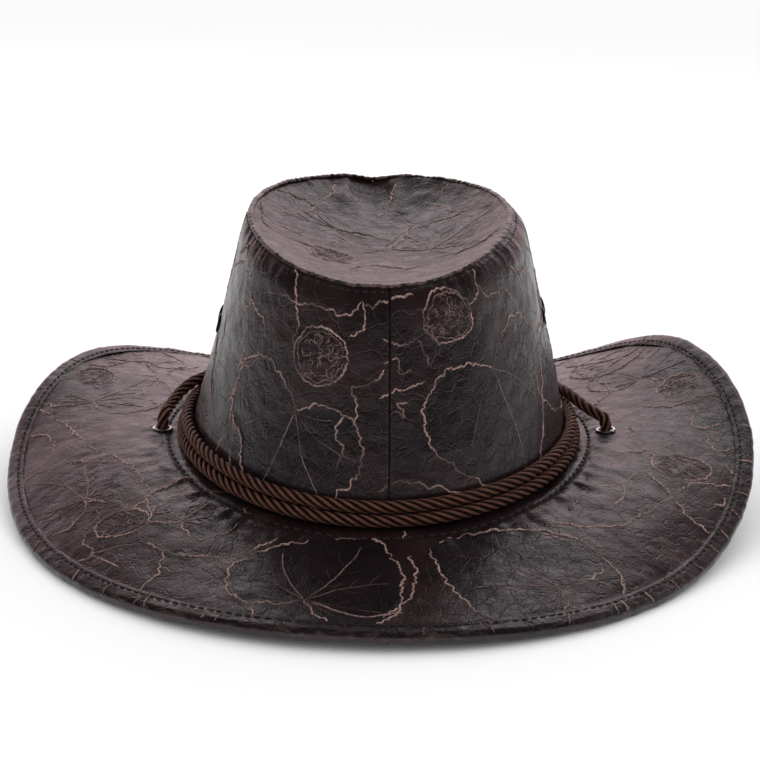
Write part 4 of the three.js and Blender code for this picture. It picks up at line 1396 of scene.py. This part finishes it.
def add_eyelets():
    profile = eyelet_profile(EYELET, BRIM_THICKNESS + GAP)[::-1]
    for side in ("right", "left"):
        ring = turned_ring(f"brim_eyelet_{side}_rolled", profile, *eyelet_frame(side))
        dress(ring, "bright_eyelet", f"brim_eyelet_{side}")


def add_vents():
    profile = eyelet_profile(VENT, LINING_DEPTH + LINING + 2 * GAP)[::-1]
    for side, place in ((s, p) for s in ("right", "left") for p in ("front", "rear")):
        angle = VENT[place] if side == "right" else 180 - VENT[place]
        at = wall_frame(math.radians(angle), VENT_HEIGHT[side])
        ring = turned_ring(f"vent_{side}_{place}_rolled", profile, *at)
        dress(ring, "dark_vent", f"vent_{side}_{place}")


def knot_path(centre, sign):
    """An overhand knot: a trefoil drawn tight, within the knot's own size."""
    t = round_angles(160)
    x = np.sin(t) + 2 * np.sin(2 * t)
    y = np.cos(t) - 2 * np.cos(2 * t)
    z = -np.sin(3 * t) * 1.35
    size = (KNOT_RADIUS - 1.9) / 3.0
    return np.stack([x * size * sign, z * size * 1.1, y * size], -1) + centre


def add_bead():
    """The sliding bead: a flattened barrel with eased ends, bored for both cords."""
    bore = CORD_RADIUS + BEAD["clearance"]
    half, length = BEAD["height"] / 2, BEAD["length"]
    share = np.linspace(-1, 1, 25)
    ease = BEAD_END + (1 - BEAD_END) * np.sqrt(np.maximum(1 - np.abs(share) ** 6, 0))
    angle = round_angles(64)
    shape = np.stack([half * np.cos(angle) + HALF_SPACING * np.sign(np.cos(angle)), half * np.sin(angle)], -1)
    outer = shape[None] * ease[:, None, None]
    made = Builder()
    points = np.stack([outer[..., 0], np.broadcast_to((share * length / 2)[:, None], outer.shape[:2]),
                       outer[..., 1]], -1) + [0, BEAD["at"], BEAD_HEIGHT]
    made.grid(points, wrap_columns=True)
    for end in (0, -1):
        add_bead_end(made, points[end], bore, end == 0)
    for sign in (-1, 1):
        ring = np.stack([sign * HALF_SPACING + bore * np.cos(angle), 0 * angle, bore * np.sin(angle)], -1)
        tube = ring[None] + np.stack([0 * share, share * length / 2, 0 * share], -1)[:, None]
        made.grid((tube + [0, BEAD["at"], BEAD_HEIGHT])[:, ::-1], wrap_columns=True)
    piece = made.made("slider_bead_turned")
    dress(piece, "bead", "slider_bead", body="slider")
    return piece


def add_bead_end(made, outline, bore, low):
    """One end face: a ring round each bore, out to the bead's outline or to its middle."""
    for sign in (-1, 1):
        centre = np.array([sign * HALF_SPACING, outline[0][1], BEAD_HEIGHT])
        outer, inner = [], []
        for k in range(41):
            a = TURN * k / 40
            direction = np.array([math.cos(a), 0, math.sin(a)])
            inner.append(centre + direction * bore)
            reach = BEAD["height"] / 2 * BEAD_END
            to_middle = -direction[0] * sign
            if to_middle > 0:
                reach = min(reach, HALF_SPACING / max(to_middle, 1e-3))
            outer.append(centre + direction * reach)
        rows = np.array([inner, outer])
        made.grid(rows if low else rows[:, ::-1])


# ---- Building everything ---------------------------------------------------------------------------


def add_cords():
    back = rope("band_cord_back_rope", back_loop_path(), closed=True)
    dress(back, "twisted_cord", "band_cord_back")
    front = rope("band_cord_front_rope", front_cord_path())
    dress(front, "twisted_cord", "band_cord_front")
    cords = {}
    for side in ("right", "left"):
        path = chin_cord_path(side)
        cord = rope(f"chin_cord_{side}_rope", path)
        dress(cord, "twisted_cord", f"chin_cord_{side}")
        sign = 1 if side == "right" else -1
        centre = [sign * (KNOT_RADIUS + GAP / 2), TAIL_END - KNOT_RADIUS - GAP, KNOT_RADIUS + 0.1]
        knot = rope(f"chin_cord_knot_{side}_tied", knot_path(centre, sign), closed=True, scale=0.74)
        dress(knot, "twisted_cord", f"chin_cord_knot_{side}")
        cords[side] = (cord, knot, path)
    return cords


def declare_cords(cords):
    for side, (cord, knot, path) in cords.items():
        length = float(np.linalg.norm(np.diff(path, axis=0), axis=1).sum()) / 1000
        start = world(path[0])
        world(path).tolist()


def finish_cad_nodes():
    """The pieces whose CAD shape is kept: stiffener, wire and washers."""
    kept = {"brim_core": "stiffener", "brim_edge_wire": "spring_wire"}
    kept.update({f"brim_eyelet_washer_{side}": "bright_eyelet" for side in ("left", "right")})
    for side in ("left", "right"):
        kept.update({f"vent_washer_{side}_{place}": "dark_vent" for place in ("front", "rear")})
    for node, material in kept.items():
        cover(frame["nodes"][node], material)


# ---- Studio ----------------------------------------------------------------------------------------

SKY = {"dome": 1.08, "sweep": 1.3, "room": 0.015, "tint": (1.0, 0.76, 0.8)}


def add_light(name, place, aim, size, energy):
    data = bpy.data.lights.new(name, "AREA")
    data.shape = "RECTANGLE"
    data.size, data.size_y = size
    data.energy = energy
    light = bpy.data.objects.new(name, data)
    bpy.context.scene.collection.objects.link(light)
    light.location = place
    light.rotation_euler = (Vector(aim) - Vector(place)).to_track_quat("-Z", "Y").to_euler()


def add_sky():
    """An even white dome for the floor. Gloss mirrors a pale sweep behind the hat and a dim room."""
    world_light = bpy.data.worlds.new("studio")
    world_light.use_nodes = True
    sky = Nodes(world_light.node_tree)
    direction = sky.add("ShaderNodeTexCoord").outputs["Generated"]
    parts = sky.add("ShaderNodeSeparateXYZ", {0: direction}).outputs
    behind = sky.ramp(parts["Y"], 0.45, 0.97, 0.0, SKY["sweep"])
    low_down = sky.ramp(parts["Z"], 0.3, 0.85, 1.0, 0.0)
    seen = sky.math("ADD", sky.math("MULTIPLY", behind, low_down), SKY["room"])
    glossy = sky.add("ShaderNodeLightPath").outputs["Is Glossy Ray"]
    strength = sky.add("ShaderNodeMix", {0: glossy, 2: SKY["dome"], 3: seen}).outputs[0]
    background = sky.tree.nodes["Background"]
    sky.tree.links.new(strength, background.inputs["Strength"])
    sky.tree.links.new(sky.mix(glossy, (1, 1, 1), SKY["tint"]), background.inputs["Color"])
    bpy.context.scene.world = world_light


def add_studio():
    """A white floor, a pale sky and soft boxes at both sides and above."""
    reach = 6000
    corners = [(x, y, -0.2) for x, y in ((-reach, -reach), (reach, -reach), (reach, reach), (-reach, reach))]
    floor = make_mesh("floor", corners, [(0, 1, 2, 3)], smooth=False)
    paper = Finish("floor_paper", Roughness=0.9, Specular_IOR_Level=0.1)
    paper.colour(paper.mix(paper.noise(400), (0.9,) * 3, (0.92,) * 3))
    floor.data.materials.append(paper.material)
    add_sky()
    add_light("left_box", (-0.9, 0.05, 0.45), (0, 0, 0.06), (0.4, 0.8), 0.05)
    add_light("right_box", (0.95, 0.1, 0.45), (0, 0, 0.06), (0.4, 0.8), 0.55)
    add_light("top_box", (0.1, 1.0, 0.95), (0, 0, 0.05), (1.2, 0.6), 3)


def build():
    cords = add_cords()
    bead = add_bead()
    declare_cords(cords)
    crown = crown_pattern()
    for side in ("right", "left"):
        add_crown_panel(side, crown)
    add_tip(tip_pattern())
    add_welt()
    add_brim_upper(brim_pattern())
    add_binding(binding_pattern())
    add_under_brim()
    add_lining()
    add_sweatband()
    add_stitching()
    add_eyelets()
    add_vents()
    finish_cad_nodes()
    add_studio()
    bpy.context.scene.view_settings.view_transform = "Standard"


build()
